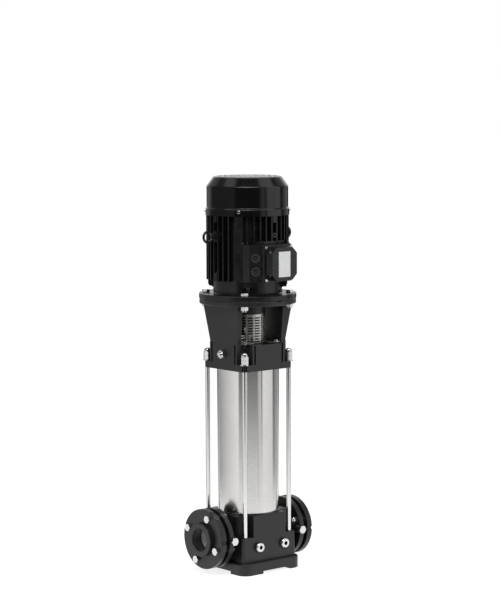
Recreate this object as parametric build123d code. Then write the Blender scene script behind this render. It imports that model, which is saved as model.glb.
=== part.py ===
"""Vertical multistage pump with a flange-mounted motor, built from its separate pieces.

Millimetres. +Z is up along the pump shaft and the origin is the middle of the foot's
underside. The suction port points along -X, the discharge port along +X, and the front
(terminal box, drain plugs, coupling window) faces -Y.
"""
from math import atan2, cos, degrees, pi, radians, sin
import os

from build123d import *

os.makedirs("parts", exist_ok=True)

# ---- fits --------------------------------------------------------------------------------
RUN = 0.05          # radial running clearance of a shaft in its bush
SLIP = 0.1          # radial clearance of a stud or spigot in its hole
GAP = 0.3           # clearance between pieces that must not touch

# ---- foot and base casting -------------------------------------------------------------------
FOOT_X, FOOT_Y, FOOT_H = 196.0, 198.0, 31.0
FOOT_CORNER = 26.0
PAD_D, PAD_H = 58.0, 7.0            # the four pads stand this far below the foot's skirt
FOOT_HOLLOW = 12.0                  # height of the hollow under the foot
ARCH_FRONT = (-34.0, 58.0)          # arch in the front and back skirt, from and to X
ARCH_SIDE = 44.0                    # half the arch in the left and right skirt
FOOT_HOLES_X, FOOT_HOLES_Y, FOOT_HOLE_D = 150.0, 152.0, 14.0
SKIRT = 9.0                         # wall of the hollow foot
BOX_X, BOX_Y, BOX_TOP = 176.0, 167.0, 150.0
BOX_CORNER, BOX_DRAFT, BOX_ROOT = 8.0, 4.0, 12.0
CREST_T, CREST_H = 4.5, 2.5         # lip round the sleeve's foot
LUG_TOP = 95.0                      # shelf that takes the lower end of each tie rod
NOTCH_X, NOTCH_Y = 54.0, 56.0       # inner corner of the pocket above each shelf

# ---- ports --------------------------------------------------------------------------------
PORT_Z = 91.3
FLANGE_D, FLANGE_PCD, FLANGE_ROUND = 155.0, 120.0, 1.5
FLANGE_T = 14.0                     # flange cast on the base
FLANGE_BACK = 112.0                 # |X| of its back face
RAISED_D, RAISED_T = 100.0, 8.3
NECK_D, NECK_IN = 88.0, 60.0        # neck of the casting, and where it starts inside the box
PORT_BORE_D, SUCTION_IN, DISCHARGE_IN = 56.0, 30.0, 64.0   # bores reach in to the sump, annulus
GASKET_T = 3.0
COMPANION_T = 16.0
HUB_D, HUB_T = 87.0, 12.0
THREAD_D = 57.0                     # tapped bore of the companion flange, G 2 minor size
BOLT_D, BOLT_AF, BOLT_HEAD_T = 12.0, 18.0, 7.5
BOLT_HOLE_D = 14.0
BOLT_TURN = {-1: 67.5, 1: 22.5}     # first bolt, degrees up from the front direction
RIM_NOTCH_D = 9.0
LINER_T, LINER_L = 1.5, 44.0
GAUGE_BOSS_D, GAUGE_BOSS_END, GAUGE_IN = 22.0, 78.0, 3.0
GAUGE_D, GAUGE_AF, GAUGE_HEAD_T, GAUGE_DEPTH = 13.0, 19.0, 6.5, 12.0

# ---- front plugs of the base -----------------------------------------------------------------
PLUG_X = (-37.5, 47.0)
PLUG_Z = 68.0
PLUG_D, PLUG_HEAD_T, PLUG_THREAD_D, PLUG_SOCKET_AF = 24.0, 6.0, 16.0, 10.0
PLUG_BOSS_D, PLUG_BOSS_T, PLUG_WASHER_T = 29.0, 3.4, 1.5
PLUG_DEPTH, PLUG_SOCKET_T = 18.0, 8.0

# ---- sleeve, tie rods and head ---------------------------------------------------------------
SLEEVE_D, SLEEVE_T = 159.6, 1.5
SLEEVE_SEAT = 6.5                   # depth of the groove that takes each end of the sleeve
SEAL_T = 1.5
ROD_D, ROD_AT = 12.0, 74.1          # tie rods, at |X| = |Y|
ROD_BOTTOM = 52.0
HEAD_Z, HEAD_T, HEAD_HALF = 522.7, 17.3, 82.2
ROD_SLOT = 13.5
NUT_AF, NUT_H = 18.0, 10.0
WASHER_D, WASHER_T = 23.0, 2.5
DOME_HEX_H, DOME_H = 10.5, 10.5

# ---- motor stool -----------------------------------------------------------------------------
POCKET_TOP = 591.0                  # underside of the wall above each tie rod pocket
FACE_HALF = 43.0                    # half width of the flat faces between the grooves
LAND_HALF, GROOVE = 48.5, 5.0       # groove from the face to a narrow land, and its depth
POST_HALF = 54.0                    # inner corner of the pocket round each tie rod
FLOOR_Z, WINDOW_SILL = 580.0, 589.0
STOOL_TOP, STOOL_FLANGE_T, STOOL_FLANGE_D = 703.0, 13.0, 248.0
WALL_TOP_X, WALL_TOP_Y = 94.0, 69.0  # outer corner of each side wall under the flange
WALL_IN, WALL_IN_LOW_Y, WALL_IN_TOP_Y = 67.5, 52.5, 61.5   # its inner face and that face's ends
WALL_END = 70.0                     # inner face of the low sills, from the shaft
WALL_ROUND = 3.0
SPOT_D = 26.0                       # spot face under the flange round each motor bolt
NECK_BOSS_D, NECK_BOSS_BORE, NECK_BOSS_BOTTOM = 90.0, 72.0, 663.5
SPIGOT_D, SPIGOT_T = 180.0, 4.0
DRAIN_W, DRAIN_H = 16.0, 2.5
VENT_Z, VENT_AF, VENT_HEX_T, VENT_BOSS_D, VENT_BOSS_T = 563.0, 20.0, 9.0, 26.0, 1.0
VENT_THREAD_D, VENT_BORE_D, VENT_DEPTH = 14.0, 7.0, 18.0
VENT_HEAD_D, VENT_HEAD_T, VENT_SLOT = 13.0, 5.5, 2.6

# ---- hydraulic stack -------------------------------------------------------------------------
STAGES, PITCH, STACK_Z = 6, 45.0, 172.0
RETURN_GAP = 8.3                    # between the chambers and the sleeve, where the water returns
CHAMBER_D = SLEEVE_D - 2 * (SLEEVE_T + RETURN_GAP)
CHAMBER_T, PLATE_T, STRAP_T, STRAP_W = 2.5, 3.0, 2.0, 16.0
EYE_D = 54.0                        # outside of the impeller's eye skirt
NECK_RING_D = 62.0
TIP_GAP = 6.5                       # between the impeller's rim and the chamber wall
IMPELLER_D, HUB_OUT_D = CHAMBER_D - 2 * (CHAMBER_T + TIP_GAP), 28.0
SHROUD_T, VANE_T, VANES = 2.0, 2.5, 6
SHROUD_LOW, SHROUD_HIGH = 4.0, 24.0  # heights of the shrouds above the stage's floor
SHAFT_D, SPACER_D = 18.0, 24.0
BUSH_D, BUSH_LOW, BUSH_HIGH = 34.0, 12.0, 36.0   # heights above the last stage
SPIDER_WALL, SPIDER_ARM, SPIDER_H = 6.0, 6.0, 18.0
SPACER_WALL, SPACER_IN = 3.0, 4.0   # ring over the last stage
CAVITY_D = SLEEVE_D - 2 * (SLEEVE_T + 1.3)   # water space inside the sleeve's two seats
DIVIDER_D = CAVITY_D - 38.0
SUMP_D, SUMP_Z, ANNULUS_Z = DIVIDER_D - 20.0, 47.0, 105.0
SEAL_BORE_D, HEAD_CEILING, SEAL_SEAT_T = 56.0, 545.0, 9.0
SEAL_COLLAR_D, SEAL_BODY_D, SEAL_NOSE_D = 40.0, 45.0, 34.0
SEAL_COVER_D, SEAL_COVER_T = 78.0, 6.0

# ---- coupling and its guard ------------------------------------------------------------------
COUPLING_D, COUPLING_LOW, COUPLING_HIGH = 66.0, 608.0, 698.0
COUPLING_SPLIT = 2.0
COUPLING_SCREW_X, COUPLING_SCREW_D, COUPLING_HEAD_D, COUPLING_FLAT = 22.0, 8.0, 13.0, 20.0
COUPLING_SCREW_Z = (COUPLING_LOW + 15, COUPLING_HIGH - 15)
PUMP_END_D, PUMP_END_Z = 22.0, 641.0
MOTOR_END_D, MOTOR_END_Z = 28.0, 644.0
GUARD_D, GUARD_T, GUARD_TOP = 88.0, 1.0, 662.5
GUARD_COLUMNS, GUARD_SPAN, GUARD_TURN, GUARD_BAR = 6, 24.8, 5.6, 3.8   # spans in degrees
GUARD_ROWS, GUARD_SLOT_H, GUARD_PITCH, GUARD_FIRST = 10, 3.8, 6.7, 591.5
GUARD_TAB_X, GUARD_TAB_Y, GUARD_TAB_W = 54.0, 49.0, 14.0
GUARD_SCREW_D, GUARD_SCREW_T = 10.0, 4.5

# ---- motor --------------------------------------------------------------------------------
MOTOR_FLANGE_D, MOTOR_FLANGE_T, MOTOR_PCD, MOTOR_HOLE_D = 250.0, 13.3, 215.0, 14.5
SHIELD_NECK_D, SHIELD_LUG_R, SHIELD_LUG_W, SHIELD_LUG_ANGLE = 177.0, 101.5, 20.0, 50.0
SHIELD_LUG_LOW, SHIELD_LUG_STEP = 730.0, 738.0   # the lug's underside slopes between these
SHIELD_SCALLOP_D, SHIELD_SCALLOP_H = 46.0, 17.0  # relief in the neck over each flange bolt
SHIELD_BOLT_D, SHIELD_BOLT_AF, SHIELD_BOLT_HEAD = 6.0, 10.0, 5.5
FRAME_Z, FRAME_TOP = 751.0, 930.0
FRAME_CORE_D, FRAME_WALL = 180.0, 8.0
FRAME_BORE_D = FRAME_CORE_D - 2 * FRAME_WALL
FIN_D, FIN_TOP, FIN_T, FINS = 211.4, 916.0, 3.2, 40
RIB_ANGLE, RIB_W = 38.0, 21.0       # broad ribs, degrees from the X axis
TAB_W, TAB_LOW = 10.0, 900.0        # short blocks under the cowl
FOOT_TAB_H, FOOT_TAB_CUT = 26.0, 9.0  # blocks with a sloping top at the frame's lower edge
FRONT_BOSS_D, FRONT_BOSS_BORE, FRONT_BOSS_Z = 13.0, 6.0, 868.0
EYE_Z, EYE_BOSS_D, EYE_AT = 864.0, 28.0, 131.0
EYE_RING_D, EYE_WIRE_D, EYE_STEM_D, EYE_COLLAR_D = 27.5, 6.5, 10.0, 20.0
BEARING_D, BEARING_BORE_D, BEARING_W, BALL_D, BALLS = 72.0, 30.0, 19.0, 12.0, 8
BEARING_LOW, BEARING_HIGH = 733.0, 932.0
CAGE_T, CAGE_H = 3.0, 15.0
CORE_LOW, CORE_HIGH, ROTOR_D, AIR_GAP = 796.0, 896.0, 97.0, 0.6
WINDING_H, WINDING_IN, WINDING_ROUND = 26.0, 9.0, 6.0
COWL_D, COWL_RIM_D, COWL_T = 208.6, 214.4, 1.5
COWL_RIM_TOP, COWL_SHOULDER, COWL_TOP, COWL_TOP_D = 934.0, 989.5, 1013.8, 172.8
COWL_RIM_ROUND, COWL_SHOULDER_ROUND, COWL_TOP_ROUND = 2.0, 6.0, 8.0
COWL_SCREW_Z, SCREW_D, SCREW_HEAD_D, SCREW_HEAD_T = 927.5, 5.0, 8.5, 3.2
SCREW_LENGTH = 9.0
FAN_Z, FAN_D, FAN_BLADES, FAN_BORE = 962.0, 168.0, 8, 22.0

# ---- terminal box ----------------------------------------------------------------------------
TBOX_LOW, TBOX_HIGH = FRAME_Z, 845.0
TBOX_BACK, TBOX_FRONT, TBOX_RIM = 88.0, 115.0, 5.0
TBOX_BACK_HALF, TBOX_FRONT_HALF, TBOX_ROOT_HALF, TBOX_ROOT = 68.0, 46.0, 76.0, 70.0
TBOX_WALL = 4.0
LID_T, LID_RAISE, LID_SIDE, LID_CUT, LID_TAPER, LID_WALL = 4.0, 24.0, 85.5, 15.5, 3.0, 2.5
GASKET_LID_T, GASKET_LID_W = 1.5, 8.0
LID_SCREW_AT = 41.0
ENTRY_D, ENTRY_Z = 20.0, (778.0, 812.0)
BOARD_W, BOARD_H, BOARD_T, BOARD_UP = 56.0, 40.0, 10.0, 17.0
CABLE_HALF, CABLE_H, CABLE_DOWN = 15.0, 12.0, 20.0   # hole for the motor's leads

# ---- derived levels --------------------------------------------------------------------------
RAISED_FACE = FLANGE_BACK + FLANGE_T + RAISED_T
COMPANION_BACK = RAISED_FACE + GASKET_T
COMPANION_FACE = COMPANION_BACK + COMPANION_T
HUB_FACE = COMPANION_FACE + HUB_T
MOTOR_FACE = STOOL_TOP + MOTOR_FLANGE_T
PLUG_SEAT = BOX_Y / 2 + PLUG_BOSS_T
SLEEVE_LOW = BOX_TOP - SLEEVE_SEAT + SEAL_T
SLEEVE_HIGH = HEAD_Z + SLEEVE_SEAT - SEAL_T
HEAD_TOP = HEAD_Z + HEAD_T
STACK_TOP = STACK_Z + STAGES * PITCH
VENT_SEAT = HEAD_HALF + VENT_BOSS_T
NUT_SEAT = HEAD_TOP + WASHER_T
DOME_SEAT = NUT_SEAT + NUT_H
SEAL_FACE = FLOOR_Z - SEAL_SEAT_T
BOX_MID_Z = (TBOX_LOW + TBOX_HIGH) / 2
CABLE_Z = BOX_MID_Z - CABLE_DOWN
FIN_ROOT = FRAME_BORE_D / 2 - 2
GAUGE_X, GAUGE_Z = FLANGE_BACK + GAUGE_IN, PORT_Z + 1
CORNERS = [(sx, sy) for sx in (-1, 1) for sy in (-1, 1)]


# ---- small builders --------------------------------------------------------------------------
def rod(diameter, low, high, x=0.0, y=0.0):
    """Upright cylinder between two heights."""
    bottom = (Align.CENTER, Align.CENTER, Align.MIN)
    return Pos(x, y, low) * Cylinder(diameter / 2, high - low, align=bottom)


def ring(outer, inner, low, high):
    return rod(outer, low, high) - rod(inner, low - 1, high + 1)


def slab(x0, x1, y0, y1, z0, z1):
    centre = Pos((x0 + x1) / 2, (y0 + y1) / 2, (z0 + z1) / 2)
    return centre * Box(abs(x1 - x0), abs(y1 - y0), abs(z1 - z0))


def hex_bar(flats, low, high, turn=0):
    """Upright hexagonal bar; at no turn two flats face +Y and -Y, at 30 they face the X axis."""
    outline = RegularPolygon(flats / 2, 6, major_radius=False, rotation=turn)
    return Pos(0, 0, low) * extrude(outline, high - low)


def hex_nut(flats, low, high, bore=0.0, turn=0):
    """Hexagon with its corners chamfered round at both ends."""
    corner = flats / cos(pi / 6)
    body = hex_bar(flats, low, high, turn)
    turned = rod(corner, low, high)
    turned = chamfer(turned.edges().filter_by(GeomType.CIRCLE), 0.06 * flats)
    body = body & turned
    return body - rod(bore, low - 1, high + 1) if bore else body


def revolved(points):
    """Solid of revolution about Z from (radius, height) corners."""
    face = make_face(Polyline([(r, 0, z) for r, z in points], close=True))
    return revolve(face, Axis.Z, 360)


def sideways(shape, side, x=0.0, z=0.0, y=0.0):
    """Lay a shape drawn along +Z down along -X (side -1) or +X (side 1)."""
    return Location((side * x, y, z), (0, 90 * side, 0)) * shape


def frontways(shape, x=0.0, z=0.0, y=0.0):
    """Lay a shape drawn along +Z down along -Y."""
    return Location((x, y, z), (90, 0, 0)) * shape


def at_corners(shape, at):
    return [Pos(sx * at, sy * at, 0) * shape for sx, sy in CORNERS]


def port_bolt_places(side):
    """(y, z) of the four bolts of one port flange, seen from the shaft."""
    first = BOLT_TURN[side]
    turns = [radians(first + 90 * k) for k in range(4)]
    half = FLANGE_PCD / 2
    return [(-half * cos(t), PORT_Z + half * sin(t)) for t in turns]


# ---- base --------------------------------------------------------------------------------
def foot():
    plate = extrude(RectangleRounded(FOOT_X, FOOT_Y, FOOT_CORNER), FOOT_H)
    plate = fillet(plate.faces().sort_by(Axis.Z)[-1].edges(), 4)
    hollow = Pos(0, 0, -1) * extrude(
        RectangleRounded(FOOT_X - 2 * SKIRT, FOOT_Y - 2 * SKIRT, FOOT_CORNER - SKIRT),
        FOOT_HOLLOW + 1)
    pads = Part() + at_corners(rod(PAD_D, 0, FOOT_H / 2), min(FOOT_X, FOOT_Y) / 2 - FOOT_CORNER)
    plate = plate - hollow
    plate += pads & extrude(RectangleRounded(FOOT_X, FOOT_Y, FOOT_CORNER), FOOT_H)
    front_arch = slab(*ARCH_FRONT, -FOOT_Y, FOOT_Y, -1, PAD_H)
    side_arch = slab(-FOOT_X, FOOT_X, -ARCH_SIDE, ARCH_SIDE, -1, PAD_H)
    plate -= front_arch + side_arch
    for sx, sy in CORNERS:
        plate -= rod(FOOT_HOLE_D, -1, FOOT_H + 1, sx * FOOT_HOLES_X / 2, sy * FOOT_HOLES_Y / 2)
    return plate


def port(side):
    """Neck, flange and raised face of one port, drawn outwards from the shaft."""
    solid = rod(NECK_D, NECK_IN, FLANGE_BACK + 1)
    disc = rod(FLANGE_D, FLANGE_BACK, FLANGE_BACK + FLANGE_T)
    solid += fillet(disc.edges().filter_by(GeomType.CIRCLE), FLANGE_ROUND)
    solid += rod(RAISED_D, FLANGE_BACK + FLANGE_T - 1, RAISED_FACE)
    solid = sideways(solid, side, z=PORT_Z)
    solid += frontways(rod(GAUGE_BOSS_D, 30, GAUGE_BOSS_END), side * GAUGE_X, GAUGE_Z)
    for y, z in port_bolt_places(side):
        solid -= sideways(rod(BOLT_HOLE_D, FLANGE_BACK - NUT_H - 12, RAISED_FACE + 1),
                          side, y=y, z=z)
    return solid


def base_casting():
    wide = RectangleRounded(BOX_X + BOX_DRAFT, BOX_Y + BOX_DRAFT, BOX_CORNER)
    box = loft([Pos(0, 0, BOX_ROOT) * wide,
                Pos(0, 0, BOX_TOP) * RectangleRounded(BOX_X, BOX_Y, BOX_CORNER)])
    solid = foot() + box
    for sx, sy in CORNERS:
        solid -= slab(sx * NOTCH_X, sx * BOX_X, sy * NOTCH_Y, sy * BOX_Y, LUG_TOP, BOX_TOP + 1)
        solid -= rod(ROD_D + 2 * SLIP, ROD_BOTTOM, LUG_TOP + 1, sx * ROD_AT, sy * ROD_AT)
    crest = ring(SLEEVE_D + 2 * CREST_T, SLEEVE_D, BOX_TOP - 2, BOX_TOP + CREST_H)
    solid += crest & slab(-BOX_X / 2, BOX_X / 2, -BOX_Y / 2, BOX_Y / 2, 0, BOX_TOP + 10)
    for side in (-1, 1):
        solid += port(side)
    for x in PLUG_X:
        solid += frontways(rod(PLUG_BOSS_D, NECK_IN, PLUG_SEAT), x, PLUG_Z)
    solid -= rod(SUMP_D, SUMP_Z, BOX_TOP + 10)
    solid -= ring(CAVITY_D, DIVIDER_D, ANNULUS_Z, BOX_TOP + 10)
    solid -= ring(SLEEVE_D + 2 * SLIP, DIVIDER_D, BOX_TOP - SLEEVE_SEAT, BOX_TOP + 10)
    solid -= sideways(rod(PORT_BORE_D, SUCTION_IN, RAISED_FACE + 1), -1, z=PORT_Z)
    solid -= sideways(rod(PORT_BORE_D, DISCHARGE_IN, RAISED_FACE + 1), 1, z=PORT_Z)
    for side in (-1, 1):
        liner_hole = rod(PORT_BORE_D + 2 * (LINER_T + SLIP), RAISED_FACE - LINER_L, RAISED_FACE + 1)
        solid -= sideways(liner_hole, side, z=PORT_Z)
        gauge_hole = rod(GAUGE_D + 2 * SLIP, GAUGE_BOSS_END - GAUGE_DEPTH - 2, GAUGE_BOSS_END + 1)
        solid -= frontways(gauge_hole, side * GAUGE_X, GAUGE_Z)
    for x in PLUG_X:
        hole = rod(PLUG_THREAD_D + 2 * SLIP, PLUG_SEAT - PLUG_DEPTH - 4, BOX_Y)
        solid -= frontways(hole, x, PLUG_Z)
    return solid


def port_liners():
    """Stainless rings that line the mouth of each port behind the gasket."""
    tube = ring(PORT_BORE_D + 2 * LINER_T, PORT_BORE_D, RAISED_FACE - LINER_L, RAISED_FACE)
    return [sideways(tube, side, z=PORT_Z) for side in (-1, 1)]


def companion_flange(side):
    disc = rod(FLANGE_D, COMPANION_BACK, COMPANION_FACE)
    disc = fillet(disc.edges().filter_by(GeomType.CIRCLE), FLANGE_ROUND)
    hub = rod(HUB_D, COMPANION_FACE - 1, HUB_FACE)
    hub = fillet(hub.edges().filter_by(GeomType.CIRCLE).sort_by(Axis.Z)[-1], 2)
    bore = rod(THREAD_D, COMPANION_BACK - 1, HUB_FACE + 1)
    mouth = Pos(0, 0, HUB_FACE - 2) * Cone(
        THREAD_D / 2, THREAD_D / 2 + 3, 3, align=(Align.CENTER, Align.CENTER, Align.MIN))
    solid = sideways(disc + hub - bore - mouth, side, z=PORT_Z)
    notch = rod(RIM_NOTCH_D, COMPANION_BACK - 1, HUB_FACE)
    solid -= sideways(notch, side, y=-FLANGE_D / 2, z=PORT_Z)
    for y, z in port_bolt_places(side):
        solid -= sideways(rod(BOLT_HOLE_D, COMPANION_BACK - 1, HUB_FACE), side, y=y, z=z)
    return solid


def flange_gaskets():
    flat = ring(RAISED_D, PORT_BORE_D + 4, RAISED_FACE, COMPANION_BACK)
    return [sideways(flat, side, z=PORT_Z) for side in (-1, 1)]


def flange_bolts():
    nut_back = FLANGE_BACK - NUT_H
    bolt = hex_nut(BOLT_AF, COMPANION_FACE, COMPANION_FACE + BOLT_HEAD_T, turn=30)
    bolt += rod(BOLT_D, nut_back - 4, COMPANION_FACE + 1)
    return [sideways(bolt, side, y=y, z=z)
            for side in (-1, 1) for y, z in port_bolt_places(side)]


def gauge_plugs():
    plug = hex_nut(GAUGE_AF, GAUGE_BOSS_END, GAUGE_BOSS_END + GAUGE_HEAD_T)
    plug += rod(GAUGE_D, GAUGE_BOSS_END - GAUGE_DEPTH, GAUGE_BOSS_END + 1)
    return [frontways(plug, side * GAUGE_X, GAUGE_Z) for side in (-1, 1)]


def drain_plugs():
    seat = PLUG_SEAT + PLUG_WASHER_T
    head = rod(PLUG_D, seat, seat + PLUG_HEAD_T)
    head = chamfer(head.faces().sort_by(Axis.Z)[-1].edges(), 1)
    plug = head + rod(PLUG_THREAD_D, PLUG_SEAT - PLUG_DEPTH, seat + 1)
    plug -= hex_bar(PLUG_SOCKET_AF, seat + PLUG_HEAD_T - PLUG_SOCKET_T, seat + PLUG_HEAD_T + 1)
    return [frontways(plug, x, PLUG_Z) for x in PLUG_X]


def plug_washers():
    washer = ring(PLUG_D, PLUG_THREAD_D + 2 * SLIP, PLUG_SEAT, PLUG_SEAT + PLUG_WASHER_T)
    return [frontways(washer, x, PLUG_Z) for x in PLUG_X]


# ---- sleeve and tie rods ---------------------------------------------------------------------
def outer_sleeve():
    return ring(SLEEVE_D, SLEEVE_D - 2 * SLEEVE_T, SLEEVE_LOW, SLEEVE_HIGH)


def sleeve_seals():
    low = ring(SLEEVE_D, SLEEVE_D - 2 * SLEEVE_T - 1, SLEEVE_LOW - SEAL_T, SLEEVE_LOW)
    high = ring(SLEEVE_D, SLEEVE_D - 2 * SLEEVE_T - 1, SLEEVE_HIGH, SLEEVE_HIGH + SEAL_T)
    return [low, high]


def tie_rods():
    return at_corners(rod(ROD_D, ROD_BOTTOM, DOME_SEAT + 8), ROD_AT)


def tie_rod_washers():
    return at_corners(ring(WASHER_D, ROD_D + 2 * SLIP, HEAD_TOP, NUT_SEAT), ROD_AT)


def tie_rod_cap_nuts():
    top = DOME_SEAT + DOME_HEX_H
    cap = hex_nut(NUT_AF, DOME_SEAT, top)
    radius = NUT_AF / 2 - 0.6
    dome = Pos(0, 0, top + DOME_H - radius) * Sphere(radius) & rod(40, top, top + 30)
    cap += dome + rod(2 * radius, top - 1, top + DOME_H - radius)
    cap -= rod(ROD_D + 2 * SLIP, DOME_SEAT - 1, DOME_SEAT + 8)
    return at_corners(cap, ROD_AT)


# ---- head and motor stool in one casting -----------------------------------------------------
def quarter_turned(points):
    """Repeat corner points drawn for the +X +Y quarter round the other three."""
    out = []
    for k in range(4):
        c, s = round(cos(k * pi / 2)), round(sin(k * pi / 2))
        out += [(c * x - s * y, s * x + c * y) for x, y in points]
    return out


def head_block():
    """Cross-shaped block between the tie rods, grooved beside each pocket."""
    h, floor = HEAD_HALF, HEAD_HALF - GROOVE
    corner = [(h, FACE_HALF), (floor, FACE_HALF + 1), (floor, LAND_HALF - 1), (h, LAND_HALF),
              (h, POST_HALF), (POST_HALF, POST_HALF), (POST_HALF, h),
              (LAND_HALF, h), (LAND_HALF - 1, floor), (FACE_HALF + 1, floor), (FACE_HALF, h)]
    outline = make_face(Polyline(quarter_turned(corner), close=True))
    return Pos(0, 0, HEAD_TOP - 1) * extrude(outline, POCKET_TOP - HEAD_TOP + 2)


def stool_wall():
    """The right-hand wall that flares from the head up to the round flange."""
    def section(outer_x, outer_y, inner_y, z):
        corners = [(outer_x, -outer_y), (outer_x, outer_y), (WALL_IN, inner_y), (WALL_IN, -inner_y)]
        return Pos(0, 0, z) * make_face(Polyline(corners, close=True))

    wall = loft([section(HEAD_HALF, POST_HALF, WALL_IN_LOW_Y, POCKET_TOP),
                 section(WALL_TOP_X, WALL_TOP_Y, WALL_IN_TOP_Y, STOOL_TOP - STOOL_FLANGE_T + 1)])
    upright = wall.edges().filter_by(lambda edge: abs(edge.tangent_at(0.5).Z) > 0.8)
    return fillet(upright.sort_by(Axis.X)[-2:], WALL_ROUND)


def motor_stool():
    solid = Pos(0, 0, HEAD_Z) * extrude(
        RectangleRounded(2 * HEAD_HALF, 2 * HEAD_HALF, 4), HEAD_T)
    solid += head_block()
    solid -= slab(-WALL_IN, WALL_IN, -WALL_END, WALL_END, FLOOR_Z, POCKET_TOP + 1)
    solid -= slab(-POST_HALF, POST_HALF, -HEAD_HALF - 1, HEAD_HALF + 1,
                  WINDOW_SILL, POCKET_TOP + 1)
    solid += [stool_wall(), mirror(stool_wall(), Plane.YZ)]
    low = STOOL_TOP - STOOL_FLANGE_T
    bolt_at = MOTOR_PCD / 2 * cos(pi / 4)
    solid -= at_corners(rod(SPOT_D, low - NUT_H - 6, low), bolt_at)
    disc = rod(STOOL_FLANGE_D, low, STOOL_TOP)
    solid += fillet(disc.edges().filter_by(GeomType.CIRCLE), 2)
    solid += rod(NECK_BOSS_D, NECK_BOSS_BOTTOM, low + 1)
    solid += sideways(rod(VENT_BOSS_D, HEAD_HALF - VENT_DEPTH, VENT_SEAT), -1, z=VENT_Z)
    # ledges that carry the guard's tabs
    for sx, sy in CORNERS:
        solid += rod(GUARD_TAB_W, FLOOR_Z - 1, WINDOW_SILL, sx * GUARD_TAB_X, sy * GUARD_TAB_Y)
    # tie rod slots, open at the corners
    for sx, sy in CORNERS:
        turn = degrees(atan2(sy, sx))
        slot = Pos(15, 0, 0) * Box(30, ROD_SLOT, HEAD_T + 2) + Cylinder(ROD_SLOT / 2, HEAD_T + 2)
        solid -= Location((sx * ROD_AT, sy * ROD_AT, HEAD_Z + HEAD_T / 2), (0, 0, turn)) * slot
    # inside of the head
    solid -= rod(SLEEVE_D + 2 * SLIP, HEAD_Z - 1, HEAD_Z + SLEEVE_SEAT)
    solid -= rod(CAVITY_D, HEAD_Z - 1, HEAD_CEILING)
    solid -= rod(SEAL_BORE_D, HEAD_Z, FLOOR_Z + 1)
    # motor side
    solid -= rod(NECK_BOSS_BORE, NECK_BOSS_BOTTOM - 1, STOOL_TOP + 1)
    solid -= rod(SPIGOT_D + 2 * SLIP, STOOL_TOP - SPIGOT_T - GAP, STOOL_TOP + 1)
    solid -= at_corners(rod(MOTOR_HOLE_D, low - 2, STOOL_TOP + 1), bolt_at)
    solid -= slab(-DRAIN_W / 2, DRAIN_W / 2, -STOOL_FLANGE_D / 2 - 1, -SPIGOT_D / 2 + 2,
                  STOOL_TOP - DRAIN_H, STOOL_TOP + 1)
    solid -= sideways(rod(VENT_THREAD_D + 2 * SLIP, HEAD_HALF - VENT_DEPTH, HEAD_HALF + 3),
                      -1, z=VENT_Z)
    return solid


def vent_plug():
    solid = hex_nut(VENT_AF, VENT_SEAT, VENT_SEAT + VENT_HEX_T)
    solid += rod(VENT_THREAD_D, VENT_SEAT - VENT_DEPTH + 4, VENT_SEAT + 1)
    solid -= rod(VENT_BORE_D, VENT_SEAT - VENT_DEPTH, VENT_SEAT + VENT_HEX_T + 1)
    return sideways(solid, -1, z=VENT_Z)


def vent_screw():
    head_low = VENT_SEAT + VENT_HEX_T + GAP
    head = rod(VENT_HEAD_D, head_low, head_low + VENT_HEAD_T)
    head = chamfer(head.faces().sort_by(Axis.Z)[-1].edges(), 0.8)
    slot = Box(VENT_SLOT, VENT_HEAD_D + 2, 5)
    head -= Location((0, 0, head_low + VENT_HEAD_T), (0, 0, 35)) * slot
    shank = rod(VENT_BORE_D - 2 * RUN, VENT_SEAT - VENT_DEPTH + 6, head_low + 1)
    return sideways(head + shank, -1, z=VENT_Z)


# ---- hydraulic stack -------------------------------------------------------------------------
def inlet_guide():
    """Seat of the stack: spigot in the base's divider and plate under the first stage."""
    solid = ring(DIVIDER_D, NECK_RING_D, BOX_TOP, STACK_Z)
    solid += ring(CHAMBER_D, NECK_RING_D, STACK_Z - PLATE_T, STACK_Z)
    return solid - revolved([(0, BOX_TOP - 1), (DIVIDER_D / 2 - 4, BOX_TOP - 1),
                             (NECK_RING_D / 2 + 2, STACK_Z - PLATE_T), (0, STACK_Z - PLATE_T)])


def chamber(stage):
    """One stage bowl: wall, top plate and the return vanes under the plate."""
    low, high = STACK_Z + stage * PITCH, STACK_Z + (stage + 1) * PITCH
    solid = ring(CHAMBER_D, CHAMBER_D - 2 * CHAMBER_T, low, high)
    solid += ring(CHAMBER_D, NECK_RING_D, high - PLATE_T, high)
    vane_low = low + SHROUD_HIGH + 4
    solid += ring(CHAMBER_D - 12, HUB_OUT_D + 30, vane_low, vane_low + 2)
    path = ThreePointArc((33, 0), (45, 12), (50, 32))
    vane = extrude(SlotArc(path, VANE_T), high - PLATE_T - vane_low - 1)
    for k in range(VANES):
        solid += Location((0, 0, vane_low + 1), (0, 0, 60 * k)) * vane
    return solid


def stage_chambers():
    return [chamber(k) for k in range(STAGES)]


def neck_rings():
    heights = [STACK_Z + k * PITCH for k in range(STAGES)]
    return [ring(NECK_RING_D, EYE_D + 2 * GAP, z - PLATE_T, z) for z in heights]


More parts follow.
